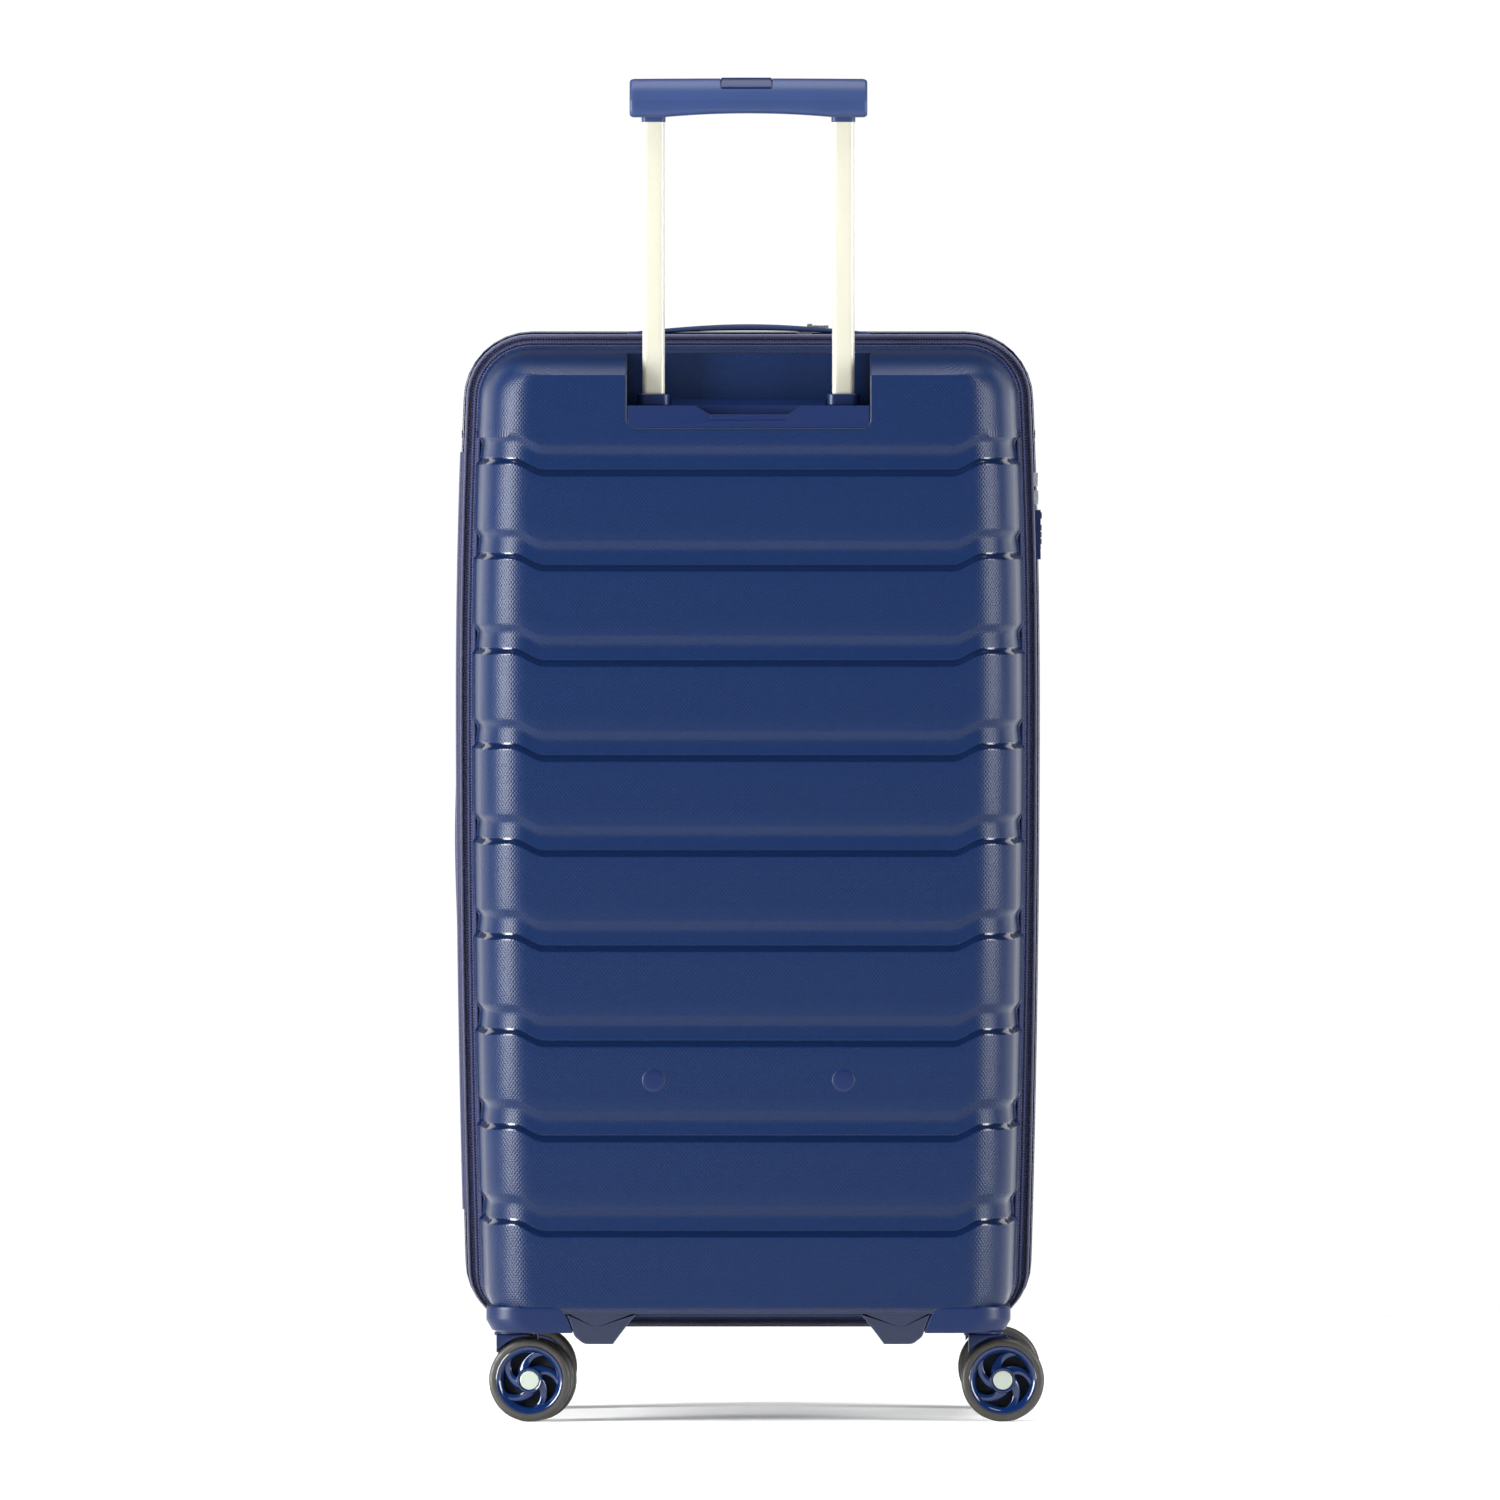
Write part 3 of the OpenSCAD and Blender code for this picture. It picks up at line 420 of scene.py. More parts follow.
def prism(outline, levels, axis, insets=None):
    # an outline carried along an axis; insets draw it in towards its middle at each level
    outline = np.asarray(outline, float)
    levels = np.asarray(levels, float)
    n, m = len(levels), len(outline)
    edge = np.roll(outline, -1, 0) - np.roll(outline, 1, 0)
    turn = np.stack([-edge[:, 1], edge[:, 0]], 1)
    turn /= np.maximum(np.linalg.norm(turn, axis=1, keepdims=True), 1e-9)
    area = np.sum(outline[:, 0] * np.roll(outline[:, 1], -1) - np.roll(outline[:, 0], -1) * outline[:, 1])
    inward = turn * np.sign(area)
    draw = np.zeros(n) if insets is None else np.asarray(insets, float)
    flat = outline[None] + inward[None] * draw[:, None, None]
    along = np.broadcast_to(levels[:, None], (n, m))
    u, v = flat[..., 0], flat[..., 1]
    columns = {"x": (along, u, v), "y": (u, along, v), "z": (u, v, along)}[axis]
    return capped(np.stack(columns, -1))


def lathe(profile, steps=48):
    # (radius, height) pairs turned once round the z axis
    profile = np.array(profile, float)
    a = np.linspace(0, 2 * np.pi, steps, endpoint=False)
    x = profile[:, :1] * np.cos(a)
    y = profile[:, :1] * np.sin(a)
    return np.stack([x, y, np.broadcast_to(profile[:, 1:], x.shape)], -1)


def moved(shape, turn=None, shift=(0, 0, 0)):
    points, quads = shape
    if turn is not None:
        points = points @ np.array(turn, float).T
    return points + np.array(shift, float), quads


caseForm = {
    "halfWidth": 212.2, "top": 788.0, "base": 63.0, "halfDepth": 190.0, "widest": 520.0,
    "topTaper": 4.7, "baseTaper": 7.5, "topCorner": 50.0, "baseCorner": 48.0, "smallCorner": 8.0,
    "cornerSteps": 8, "columnEnd": 140.0, "edgeColumns": 8,
}
ribForm = {
    "first": 136.0, "pitch": 68.5, "count": 9, "faceDepth": 2.6, "sideDepth": 3.6,
    "jog": 8.6, "jogStart": 147.0, "jogEnd": 170.0,
    # height above the line, share of the depth, polish
    "profile": [(-2.6, 0, 0), (-1.8, 0.02, 0.6), (-1.0, 0.1, 1), (0.0, 0.3, 1), (1.2, 0.56, 1),
                (2.1, 0.68, 1), (2.8, 0.72, 0.7), (3.6, 0.745, 0), (7.5, 0.86, 0), (11, 0.96, 0),
                (13, 1, 0), (14.4, 0.95, 0), (15.8, 0.78, 0), (17.2, 0.5, 0), (18.6, 0.22, 0),
                (19.8, 0.06, 0), (21, 0, 0)],
}
wellForm = {"halfWidth": 87.5, "floor": 717.0, "back": -146.0, "corner": 7.0, "edge": 1.3}


def halfWidth(z):
    f = caseForm
    up = (z - f["widest"]) / (f["top"] - f["topCorner"] - f["widest"])
    down = (f["widest"] - z) / (f["widest"] - f["base"])
    return f["halfWidth"] - np.where(z > f["widest"], f["topTaper"] * up ** 2, f["baseTaper"] * down ** 2)


def jog(x):
    # smooth step from 0 in the middle panel to the full jog round the corners
    t = np.clip((np.abs(x) - ribForm["jogStart"]) / (ribForm["jogEnd"] - ribForm["jogStart"]), 0, 1)
    return ribForm["jog"] * t * t * (3 - 2 * t)


def rowTable():
    # height, share of the jog, rib depth share and polish of each row between the corners, from the base up
    table = [(116, 0, 0, 0), (125, 0.4, 0, 0)]
    for line in ribForm["first"] + ribForm["pitch"] * np.arange(ribForm["count"]):
        table += [(line + h, 1, share, polish) for h, share, polish in ribForm["profile"]]
        table += [(line + h, 1, 0, 0) for h in (32, 43, 55)]
    table = table[:-3]
    low = wellForm["floor"] - wellForm["edge"]
    table += [(709, 0.45, 0, 0)]
    table += [(z, 0, 0, 0) for z in low + wellForm["corner"] * np.linspace(0, 1, 5)]
    table += [(730, 0, 0, 0)]
    return np.array(table, float)


rows = rowTable()


def sideLine(a, b, c):
    # right-hand side of one ring from base to top, as x, height, rib share, polish, jog share and
    # height without the jog; a, b and c are the insets at the side, top and base
    f = caseForm
    t = np.radians(np.linspace(0, 90, f["cornerSteps"] + 1))
    sxb, szb = max(f["baseCorner"] - 2 * a, f["smallCorner"]), max(f["baseCorner"] - 2 * c, f["smallCorner"])
    sxt, szt = max(f["topCorner"] - a, f["smallCorner"]), max(f["topCorner"] - b, f["smallCorner"])
    zb, zt = f["base"] + c + szb, f["top"] - b - szt
    xb, xt = halfWidth(zb) - a - sxb, halfWidth(zt) - a - sxt
    x = np.concatenate([xb + sxb * np.sin(t), halfWidth(rows[:, 0] + ribForm["jog"] * rows[:, 1]) - a,
                        xt + sxt * np.cos(t)])
    z = np.concatenate([zb - szb * np.cos(t), rows[:, 0], zt + szt * np.sin(t)])
    none = np.zeros(len(t))
    share = [np.concatenate([none, rows[:, k], none]) for k in (1, 2, 3)]
    return x, z + share[0] * jog(x), share[1], share[2], share[0], z


def columnPlaces():
    # x of the columns in the right half, out to where the spacing follows the edge
    e, w = wellForm["edge"], wellForm["halfWidth"]
    corner = w + e - wellForm["corner"] * np.linspace(1, 0, 5)
    return np.concatenate([[0, 15, 30, 45, 60, 72], corner, [96, 107, 118, 129, caseForm["columnEnd"]]])


columnsRight = columnPlaces()


def columnLine(edge):
    # x of every column across a row whose ends are at -edge and +edge
    near = columnsRight
    end = caseForm["columnEnd"]
    far = end + (edge - end) * np.linspace(0, 1, caseForm["edgeColumns"] + 1)
    right = np.concatenate([near, far[1:-1]])
    return np.concatenate([-right[:0:-1], right])


def ringLoop(y, a, b, c, t, ribs=1.0):
    # one closed ring as points, rib share and polish; t is the turn from side wall to face in degrees
    x, z, share, polish = sideLine(a, b, c)[:4]
    s, k = math.sin(math.radians(t)), math.cos(math.radians(t))
    depth = share * ribs * (ribForm["faceDepth"] * s * s + ribForm["sideDepth"] * k * k)
    right = np.stack([x - depth * k, y + depth * s, z], 1)
    top, base = columnLine(x[-1])[::-1], columnLine(x[0])
    topLine = np.stack([top, np.full_like(top, y), np.full_like(top, z[-1])], 1)
    baseLine = np.stack([base, np.full_like(base, y), np.full_like(base, z[0])], 1)
    left = right[::-1] * [-1, 1, 1]
    points = np.concatenate([right, topLine, left, baseLine])
    shine = np.concatenate([polish, 0 * top, polish[::-1], 0 * base]) * ribs
    return points, shine


def faceGrid(y, a, b, c, ribs=1.0):
    # the flat face inside its outer ring: rows follow the rib lines, columns run up the case
    x, _, share, polish, jogShare, plain = sideLine(a, b, c)
    across = np.stack([np.concatenate([[-edge], columnLine(edge), [edge]]) for edge in x])
    up = plain[:, None] + jogShare[:, None] * jog(across)
    deep = y + share[:, None] * ribForm["faceDepth"] * ribs
    points = np.stack([across, np.broadcast_to(deep, across.shape), up], -1)
    return points, np.broadcast_to(polish[:, None] * ribs, across.shape)


def inWell(x, z):
    e = wellForm["edge"] + 0.01
    return (np.abs(x) < wellForm["halfWidth"] + e) & (z > wellForm["floor"] - e)


def caseSkin(rings, well=False):
    # rings of (y, side inset, top inset, base inset, turn, rib share) from the rim to the face, then
    # the face; the weave map unfolds the walls flat around the face
    loops, shines = zip(*[ringLoop(*ring) for ring in rings])
    loops, shines = np.stack(loops), np.stack(shines)
    y, a, b, c = rings[-1][:4]
    ribs = rings[-1][-1]
    face, faceShine = faceGrid(y, a, b, c, ribs)
    steps = np.linalg.norm(np.diff(loops, axis=0), axis=2)
    out = np.concatenate([np.cumsum(steps[::-1], 0)[::-1], np.zeros((1, loops.shape[1]))])
    base = loops[-1][:, [0, 2]]
    away = loops[0][:, [0, 2]] - base
    away /= np.linalg.norm(away, axis=1, keepdims=True)
    flat = base[None] + away[None] * out[..., None]
    if well:
        face = roundWellCorners(face)
    loopPoints, loopQuads = grid(loops, closeColumns=True)
    facePoints, faceQuads = grid(face)
    if well:
        middle = facePoints[faceQuads].mean(1)
        faceQuads = faceQuads[~inWell(middle[:, 0], middle[:, 2])]
        middle = loopPoints[loopQuads].mean(1)
        gone = (np.abs(middle[:, 0]) < wellForm["halfWidth"] + 1) & (middle[:, 2] > 700) \
            & (middle[:, 1] < wellForm["back"])
        loopQuads = loopQuads[~gone]
    shape = joined([(loopPoints, loopQuads), (facePoints, faceQuads)])
    weave = np.concatenate([flat.reshape(-1, 2), face[..., [0, 2]].reshape(-1, 2)])
    shine = np.concatenate([shines.ravel(), faceShine.ravel()])
    return shape, weave, shine


def roundWellCorners(face):
    # the grid corners of the well's cut are moved onto an arc, a quarter turn in eight steps
    r = wellForm["corner"]
    xe, ze = wellForm["halfWidth"] + wellForm["edge"], wellForm["floor"] - wellForm["edge"]
    x, z = np.abs(face[..., 0]), face[..., 2]
    onBase = (np.abs(z - ze) < 0.01) & (x > xe - r - 0.01) & (x < xe + 0.01)
    onSide = (np.abs(x - xe) < 0.01) & (z < ze + r + 0.01) & (z > ze - 0.01)
    part = np.where(onSide, (z - ze) / r + 1, (x - xe + r) / r) / 2
    angle = np.pi / 2 * (part - 1)
    both = onBase | onSide
    face[..., 0] = np.where(both, np.sign(face[..., 0]) * (xe - r + r * np.cos(angle)), face[..., 0])
    face[..., 2] = np.where(both, ze + r + r * np.sin(angle), face[..., 2])
    return face


edgeForm = {"turn": 40.0, "sideWall": 18.0, "sideFace": 51.0, "topWall": 17.0, "topFace": 33.0,
            "baseWall": 13.0, "baseFace": 16.0, "steps": 18}


def turnRings():
    # the rounding behind the face: a quarter ellipse at the sides, and at the top a curve that meets
    # the face at a crease; depth follows the sine of the turn
    f = edgeForm
    made = []
    for t in np.linspace(0, 90, f["steps"] + 1):
        u = math.sin(math.radians(t))
        bend = 1 - math.cos(math.radians(t))
        crease = 0.25 * u + 0.75 * u ** 3
        made.append((-caseForm["halfDepth"] + f["turn"] * (1 - u),
                     f["sideWall"] + (f["sideFace"] - f["sideWall"]) * bend,
                     f["topWall"] + (f["topFace"] - f["topWall"]) * crease,
                     f["baseWall"] + (f["baseFace"] - f["baseWall"]) * bend, t, 1.0))
    return made


def rearRings():
    bead = [(-22.0, 12.4, 12.4, 11.9, 0, 1), (-22.3, 11.8, 11.8, 11.5, 0, 1), (-23.2, 11.4, 11.4, 11.2, 0, 1),
            (-29.5, 11.4, 11.4, 11.2, 0, 1), (-30.6, 11.8, 11.8, 11.5, 0, 1), (-31.4, 12.7, 12.7, 11.8, 0, 1),
            (-32.6, 13.3, 13.3, 12.0, 0, 1), (-37, 13.5, 13.5, 12.0, 0, 1)]
    wall = [(y, 13.5 + 4.5 * s, 13.5 + 3.5 * s, 12 + s, 0, 1)
            for y, s in ((-60, 0.2), (-90, 0.47), (-120, 0.73), (wellForm["back"], 0.965))]
    return bead + wall + turnRings()


def frontRings():
    lip = [(-30.0, 0.9, 0.9, 0.9, 0, 0), (-30.3, 0.3, 0.3, 0.3, 0, 0), (-31.2, 0, 0, 0, 0, 0),
           (-37.2, 0, 0, 0, 0, 0), (-38.4, 0.3, 0.3, 0.3, 0, 0), (-39.2, 1.2, 1.2, 1.2, 0, 0),
           (-40.4, 6, 6, 6, 0, 0), (-41.0, 10.0, 10.0, 9.6, 0, 0.3), (-42.0, 11.8, 11.8, 11.2, 0, 1),
           (-44, 13.1, 13.1, 11.9, 0, 1), (-47, 13.5, 13.5, 12.0, 0, 1)]
    wall = [(y, 13.5 + 4.5 * s, 13.5 + 3.5 * s, 12 + s, 0, 1)
            for y, s in ((-70, 0.22), (-95, 0.46), (-120, 0.71))]
    return lip + wall + turnRings()


def mirrored(shape, sign):
    return shape[0] * [1, sign, 1], shape[1]


def makeShell(name, rings, body, sign, well):
    shape, weave, shine = caseSkin(rings, well)
    y, z = shape[0][:, 1], shape[0][:, 2]
    smoothBase = np.clip((84 - z) / 3, 0, 1)
    smoothRim = 0.8 * np.clip((y - rings[0][0] + 11) / 3, 0, 1)
    shine = np.maximum(shine, np.maximum(smoothBase, smoothRim))
    shine = np.where((z < 78.9) & (np.abs(shape[0][:, 0]) < 150) & (y > -189.9), -3.0, shine)
    piece = makePiece(name, mirrored(shape, sign), body, "shell",
                      [name.replace("Skin", "_shell")], weave, inside=(0, -0.08 * sign, 0.42), smoothAngle=50,
                      marks={"polish": shine})
    thicken(piece, 2.6, -1)


footForm = [(97.6, 57, 0.6), (118.4, 57, 3), (125.2, 62.4, 2), (129.6, 75.2, 2), (131.8, 79.6, 0.3),
            (80, 79.6, 0.3), (89.2, 68.4, 6)]


def makeFeet(name, body, sign):
    # two moulded feet of the shell's skirt, each with a rounded front edge
    outline = rounded(footForm)
    parts = []
    for side in (-1, 1):
        foot = prism(outline, [-189.98, -189.6, -188.9, -150], "y", [0.9, 0.3, 0, 0])
        parts.append((foot[0] * [side, sign, 1], foot[1]))
    shape = joined(parts)
    # with polish 1 all over, the feet take the shell's darker painted-shade navy
    makePiece(name, shape, body, "shell", marks={"polish": np.ones(len(shape[0]))})


makeShell("rearSkin", rearRings(), "rear_half", 1, True)
makeShell("frontSkin", frontRings(), "front_case", -1, False)
makeFeet("rearFeet", "rear_half", 1)
makeFeet("frontFeet", "front_case", -1)
print("shells made")


def makeWell():
    # the rounded edge of the cut, the side walls and floor, and the textured back wall
    w, e = wellForm, wellForm["edge"]
    r = w["corner"]
    xe, ze = w["halfWidth"] + e, w["floor"] - e
    # going round the cut from the upper left to the upper right, as x, z and the way in
    angle = np.radians(np.linspace(-90, 0, 9))
    corner = np.stack([xe - r + r * np.cos(angle), ze + r + r * np.sin(angle)], 1)
    inward = np.stack([-np.cos(angle), -np.sin(angle)], 1)
    sideRings = [(ring[0], ring[2]) for ring in turnRings()]
    creaseY, creaseZ = np.array(sideRings)[:, 0], caseForm["top"] - np.array(sideRings)[:, 1]
    up = np.array([730, 740, caseForm["top"] - edgeForm["topFace"]])
    right = np.concatenate([np.stack([corner[:, 0], 0 * angle - caseForm["halfDepth"], corner[:, 1]], 1),
                            np.stack([0 * up + xe, 0 * up - caseForm["halfDepth"], up], 1),
                            np.stack([0 * creaseY + xe, creaseY, creaseZ], 1)[::-1],
                            [[xe, w["back"], caseForm["top"] - 17.1]]])
    way = np.concatenate([np.stack([inward[:, 0], 0 * angle, inward[:, 1]], 1),
                          np.broadcast_to([-1.0, 0, 0], (len(right) - len(corner), 3))])
    # the way down into the case from each edge point
    turned = np.linspace(90, 0, len(creaseY))
    down = np.concatenate([np.broadcast_to([0.0, 1, 0], (len(corner) + len(up), 3)),
                           np.stack([0 * creaseY, np.cos(np.radians(90 - turned * 0.72)),
                                     -np.sin(np.radians(90 - turned) * 0.72)], 1),
                           [[0, 0, -1.0]]])
    down /= np.linalg.norm(down, axis=1, keepdims=True)
    line = np.concatenate([right[::-1] * [-1, 1, 1], right])
    way = np.concatenate([way[::-1] * [-1, 1, 1], way])
    down = np.concatenate([down[::-1], down])
    steps = np.radians(np.linspace(0, 90, 6))[:, None, None]
    sweep = line[None] + way[None] * e * np.sin(steps) + down[None] * e * (1 - np.cos(steps))
    last = sweep[-1].copy()
    last[:, 1] = w["back"]
    beside = sweep[-1] + (last - sweep[-1]) * 0.5
    walls = np.concatenate([sweep, beside[None], last[None]])
    shape = grid(walls)
    weave = np.stack([walls[..., 0] + walls[..., 1], walls[..., 2]], -1).reshape(-1, 2)
    makePiece("wellLiner", shape, "rear_half", "well", ["handle_well"], weave,
              inside=(0, -0.3, 0.5), smoothAngle=40)
    x = np.linspace(-w["halfWidth"], w["halfWidth"], 9)
    z = np.linspace(w["floor"], caseForm["top"] - 17.4, 9)
    back = np.stack(np.meshgrid(x, [w["back"]], z, indexing="ij"), -1)[:, 0]
    piece = makePiece("wellBack", grid(back), "rear_half", "shell", (),
                      back[..., [0, 2]].reshape(-1, 2), marks={"polish": np.zeros(len(x) * len(z))})
    thicken(piece, 1.6, 0)


makeWell()


# the carry handles' legs and the slots in the band that they pass through
handleY, legX, sideHandleZ = 6, 83, 420
slotAcross = [78.6, 87.4]
slotUp = [332.6, 341.4, 498.6, 507.4]


def outlineLoop(inset):
    # one inset outline as (x, z) with the distance along it; rows fall on the handle slots' ends
    f = caseForm
    t = np.radians(np.linspace(0, 90, 11))
    plainRows = [130, 180, 230, 280, 310, 380, 420, 460, 540, 580, 620, 660, 700]
    heights = np.array(sorted(plainRows + slotUp), float)
    sb = max(f["baseCorner"] - 2 * inset, f["smallCorner"])
    st = max(f["topCorner"] - inset, f["smallCorner"])
    zb, zt = f["base"] + inset + sb, f["top"] - inset - st
    xb, xt = halfWidth(zb) - inset - sb, halfWidth(zt) - inset - st
    x = np.concatenate([xb + sb * np.sin(t), halfWidth(heights) - inset, xt + st * np.cos(t)])
    z = np.concatenate([zb - sb * np.cos(t), heights, zt + st * np.sin(t)])
    across = np.array([120] + slotAcross[::-1] + [40, 0] + [-40] + [-s for s in slotAcross] + [-120], float)
    right = np.stack([x, z], 1)
    topLine = np.stack([across, np.full_like(across, f["top"] - inset)], 1)
    baseLine = np.stack([-across, np.full_like(across, f["base"] + inset)], 1)
    return np.concatenate([right, topLine, right[::-1] * [-1, 1], baseLine])


def along(loop):
    step = np.linalg.norm(np.roll(loop, -1, 0) - loop, axis=1)
    return np.concatenate([[0], np.cumsum(step)[:-1]])


def ringShape(section, close=True):
    # a closed section of (inset, y) points carried round the outline, with its weave map
    loops = [outlineLoop(inset) for inset, y in section]
    points = np.stack([np.stack([loop[:, 0], np.full(len(loop), y), loop[:, 1]], 1)
                       for loop, (inset, y) in zip(loops, section)])
    section = np.array(section, float)
    over = np.concatenate([[0], np.cumsum(np.linalg.norm(np.diff(section, axis=0), axis=1))])
    length = along(loops[0])
    weave = np.stack(np.broadcast_arrays(length[None], over[:, None]), -1).reshape(-1, 2)
    return grid(points, closeRows=close, closeColumns=True), weave


def makeRing(name, section, body, finish, stands=()):
    shape, weave = ringShape(section)
    return makePiece(name, shape, body, finish, stands, weave, smoothAngle=40)


def cordSection(inset, y, radius, steps=8):
    a = np.linspace(0, 2 * np.pi, steps, endpoint=False)
    return [(inset + radius * math.cos(k), y + radius * math.sin(k)) for k in a]


def placedAlong(inset, pitch):
    # evenly spaced places on an outline with the direction along it and outwards
    loop = outlineLoop(inset)
    ends = np.concatenate([loop, loop[:1]])
    run = np.concatenate([along(loop), [along(loop)[-1] + np.linalg.norm(ends[-1] - ends[-2])]])
    at = np.linspace(0, run[-1], int(run[-1] / pitch), endpoint=False)
    place = np.stack([np.interp(at, run, ends[:, k]) for k in (0, 1)], 1)
    ahead = np.roll(place, -1, 0) - np.roll(place, 1, 0)
    ahead /= np.linalg.norm(ahead, axis=1, keepdims=True)
    return place, ahead, np.stack([ahead[:, 1], -ahead[:, 0]], 1)


def teethShape(inset, pitch, size, y):
    # small rounded blocks along an outline, size = (along, outwards, in depth)
    place, ahead, out = placedAlong(inset, pitch)
    ball = lathe([(0.001, -1), (0.75, -0.8), (1, 0), (0.75, 0.8), (0.001, 1)], 6)
    unit, quads = grid(ball, closeColumns=True)
    unit = unit * [1.1, 1.1, 1]
    flat = place[:, None] + ahead[:, None] * unit[None, :, :1] * size[0] / 2 \
        + out[:, None] * unit[None, :, 1:2] * size[1] / 2
    deep = np.broadcast_to(y + unit[None, :, 2] * size[2] / 2, flat.shape[:2])
    points = np.stack([flat[..., 0], deep, flat[..., 1]], -1).reshape(-1, 3)
    starts = np.arange(len(place)) * len(unit)
    return points, (quads[None] + starts[:, None, None]).reshape(-1, 4)


# the rear tape, seen from behind: two stitched coils between piping at the outer edge and the shell
makeRing("rearTape", [(3.0, -16.3), (3.0, -20.6), (3.5, -21.4), (4.6, -21.6), (5.2, -20.9), (7.4, -20.6),
                      (8.8, -20.9), (10.4, -20.7), (11.2, -21.3), (13.6, -21.3), (14.3, -20.6),
                      (14.3, -16.3)],
         "rear_half", "tape", ["rear_zip_tape"])
makePiece("rearCoils", joined([teethShape(6.2, 2.1, (1.3, 1.5, 1.3), -20.9),
                               teethShape(9.5, 2.1, (1.3, 1.3, 1.2), -20.95)]),
          "rear_half", "gap")
makeRing("rearPiping", cordSection(3.6, -21.0, 1.25), "rear_half", "piping")
makeRing("bandTapeRear", [(3.2, -15.8), (3.2, -11.2), (3.8, -10.3), (7.2, -10.1), (8.4, -10.4), (8.4, -15.8)],
         "front_half", "tape", ["band_zip_tapes"])
makeRing("bandTapeFront", [(3.2, 25.8), (3.2, 23.2), (3.8, 22.4), (7.2, 22.1), (8.4, 22.4), (8.4, 25.8)],
         "front_half", "tape")
makeRing("frontTape", [(3.2, 26.2), (3.2, 29.9), (8.4, 29.9), (8.4, 26.2)],
         "front_case", "tape", ["front_zip_tape"])
# interlocked zip elements sit on the outer edge of each pair of tapes
for name, body, y in (("mainTeethRear", "rear_half", -16.75), ("mainTeethFront", "front_half", -15.2),
                      ("expanderTeethRear", "front_half", 25.25), ("expanderTeethFront", "front_case", 26.8)):
    makePiece(name, teethShape(2.9, 2.4, (1.5, 1.3, 1.2), y), body, "gap")

gusset, gussetWeave = ringShape([(10.8, 14.2), (10.5, 18), (10.7, 22), (10.5, 25), (10.8, 29.6), (12, 29.6),
                                 (11.9, 25), (12, 22), (11.9, 18), (12, 14.2)])
gussetPiece = makePiece("expanderGusset", gusset, None, "strap", ["expander_gusset"],
                        gussetWeave)
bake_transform(gussetPiece)


def makeBand():
    # the band between the two zips: cloth with stitched edges, cut out for the handles' legs
    section = [(7.6, -9.9), (7.1, -9.2), (6.9, -7.6), (7.3, -7.0), (6.7, -5.6), (6.5, -0.4), (6.4, 6),
               (6.5, 12.4), (6.7, 17.6), (7.3, 19.0), (6.9, 19.6), (7.1, 21.2), (7.6, 21.9)]
    (points, quads), weave = ringShape(section, close=False)
    middle = points[quads].mean(1)
    x, y, z = np.abs(middle[:, 0]), middle[:, 1], middle[:, 2]
    deep = (y > -0.4) & (y < 12.4)
    atTop = deep & (z > 760) & (x > slotAcross[0]) & (x < slotAcross[1])
    off = np.abs(z - sideHandleZ)
    atSide = deep & (middle[:, 0] < -195) & (off > slotAcross[0]) & (off < slotAcross[1])
    piece = makePiece("middleBand", (points, quads[~(atTop | atSide)]), "front_half", "band",
                      ["middle_band"], weave, inside=(0, 0.006, 0.42), smoothAngle=40)
    thicken(piece, 3.2, -1)


makeBand()


def makeHinge():
    # the cloth that joins the halves on the left, following the case's side
    z = np.linspace(150, 700, 45)
    section = [(2.6, -21.6), (0.1, -21.7), (-0.5, -20.8), (-0.45, -16), (-0.5, -11.2), (0.1, -10.4),
               (2.6, -10.5)]
    rowsMade = [np.stack([-(halfWidth(z) - inset), 0 * z + y, z], 1) for inset, y in section]
    points = np.stack(rowsMade, 1)
    over = np.array([0, 2.5, 3.5, 8.3, 13, 14, 16.5])
    weave = np.stack(np.broadcast_arrays(z[:, None], over[None]), -1).reshape(-1, 2)
    piece = makePiece("hingeCloth", capped(points), None, "piping", ["hinge_tape"],
                      np.concatenate([weave[:7], weave, weave[-7:]]))
    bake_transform(piece)


makeHinge()
print("bands and zips made")


def handleShape(rise):
    # a strap arched over its two ends: in the handle's own frame x runs along it and z outwards
    half = 88.0
    s = np.linspace(-1, 1, 41)
    width = 11 - 1.6 * np.exp(-((np.abs(s) - 0.9) / 0.09) ** 2)
    thick = 2 + 0.35 * np.cos(np.pi * np.clip(s * 1.3, -1, 1))
    middle = rise + 2.4 + 2 - rise * s ** 2
    a = np.linspace(0, 2 * np.pi, 24, endpoint=False)
    # section: a superellipse, flat on its broad faces
    u = np.sign(np.cos(a)) * np.abs(np.cos(a)) ** 0.45
    v = np.sign(np.sin(a)) * np.abs(np.sin(a)) ** 0.6
    slope = np.arctan(-2 * rise * s / half)
    points = np.stack([half * s[:, None] - np.sin(slope)[:, None] * thick[:, None] * v,
                       width[:, None] * u, middle[:, None] + np.cos(slope)[:, None] * thick[:, None] * v], -1)
    strap = capped(points)
    parts = [strap]
    for side in (-1, 1):
        leg = prism(roundBar(8, 12, 1.5), [-15, 3.4], "z")
        foot = prism(roundBar(16, 12, 1.0), [-15, -14.5, -12.5, -12], "z", [0.5, 0, 0, 0.5])
        parts += [moved(leg, shift=(side * legX, 0, 0)), moved(foot, shift=(side * legX, 0, 0))]
    return joined(parts)


sideTurn = [[0, 0, -1], [0, 1, 0], [1, 0, 0]]
sideSeat, topSeat = 205.2, 781.0
makePiece("topHandle", moved(handleShape(5.3), shift=(0, handleY, topSeat)), "top_carry",
          "handle", ["top_handle"])
makePiece("sideHandle", moved(handleShape(1.6), sideTurn, (-sideSeat, handleY, sideHandleZ)), "side_carry",
          "handle", ["side_handle"])


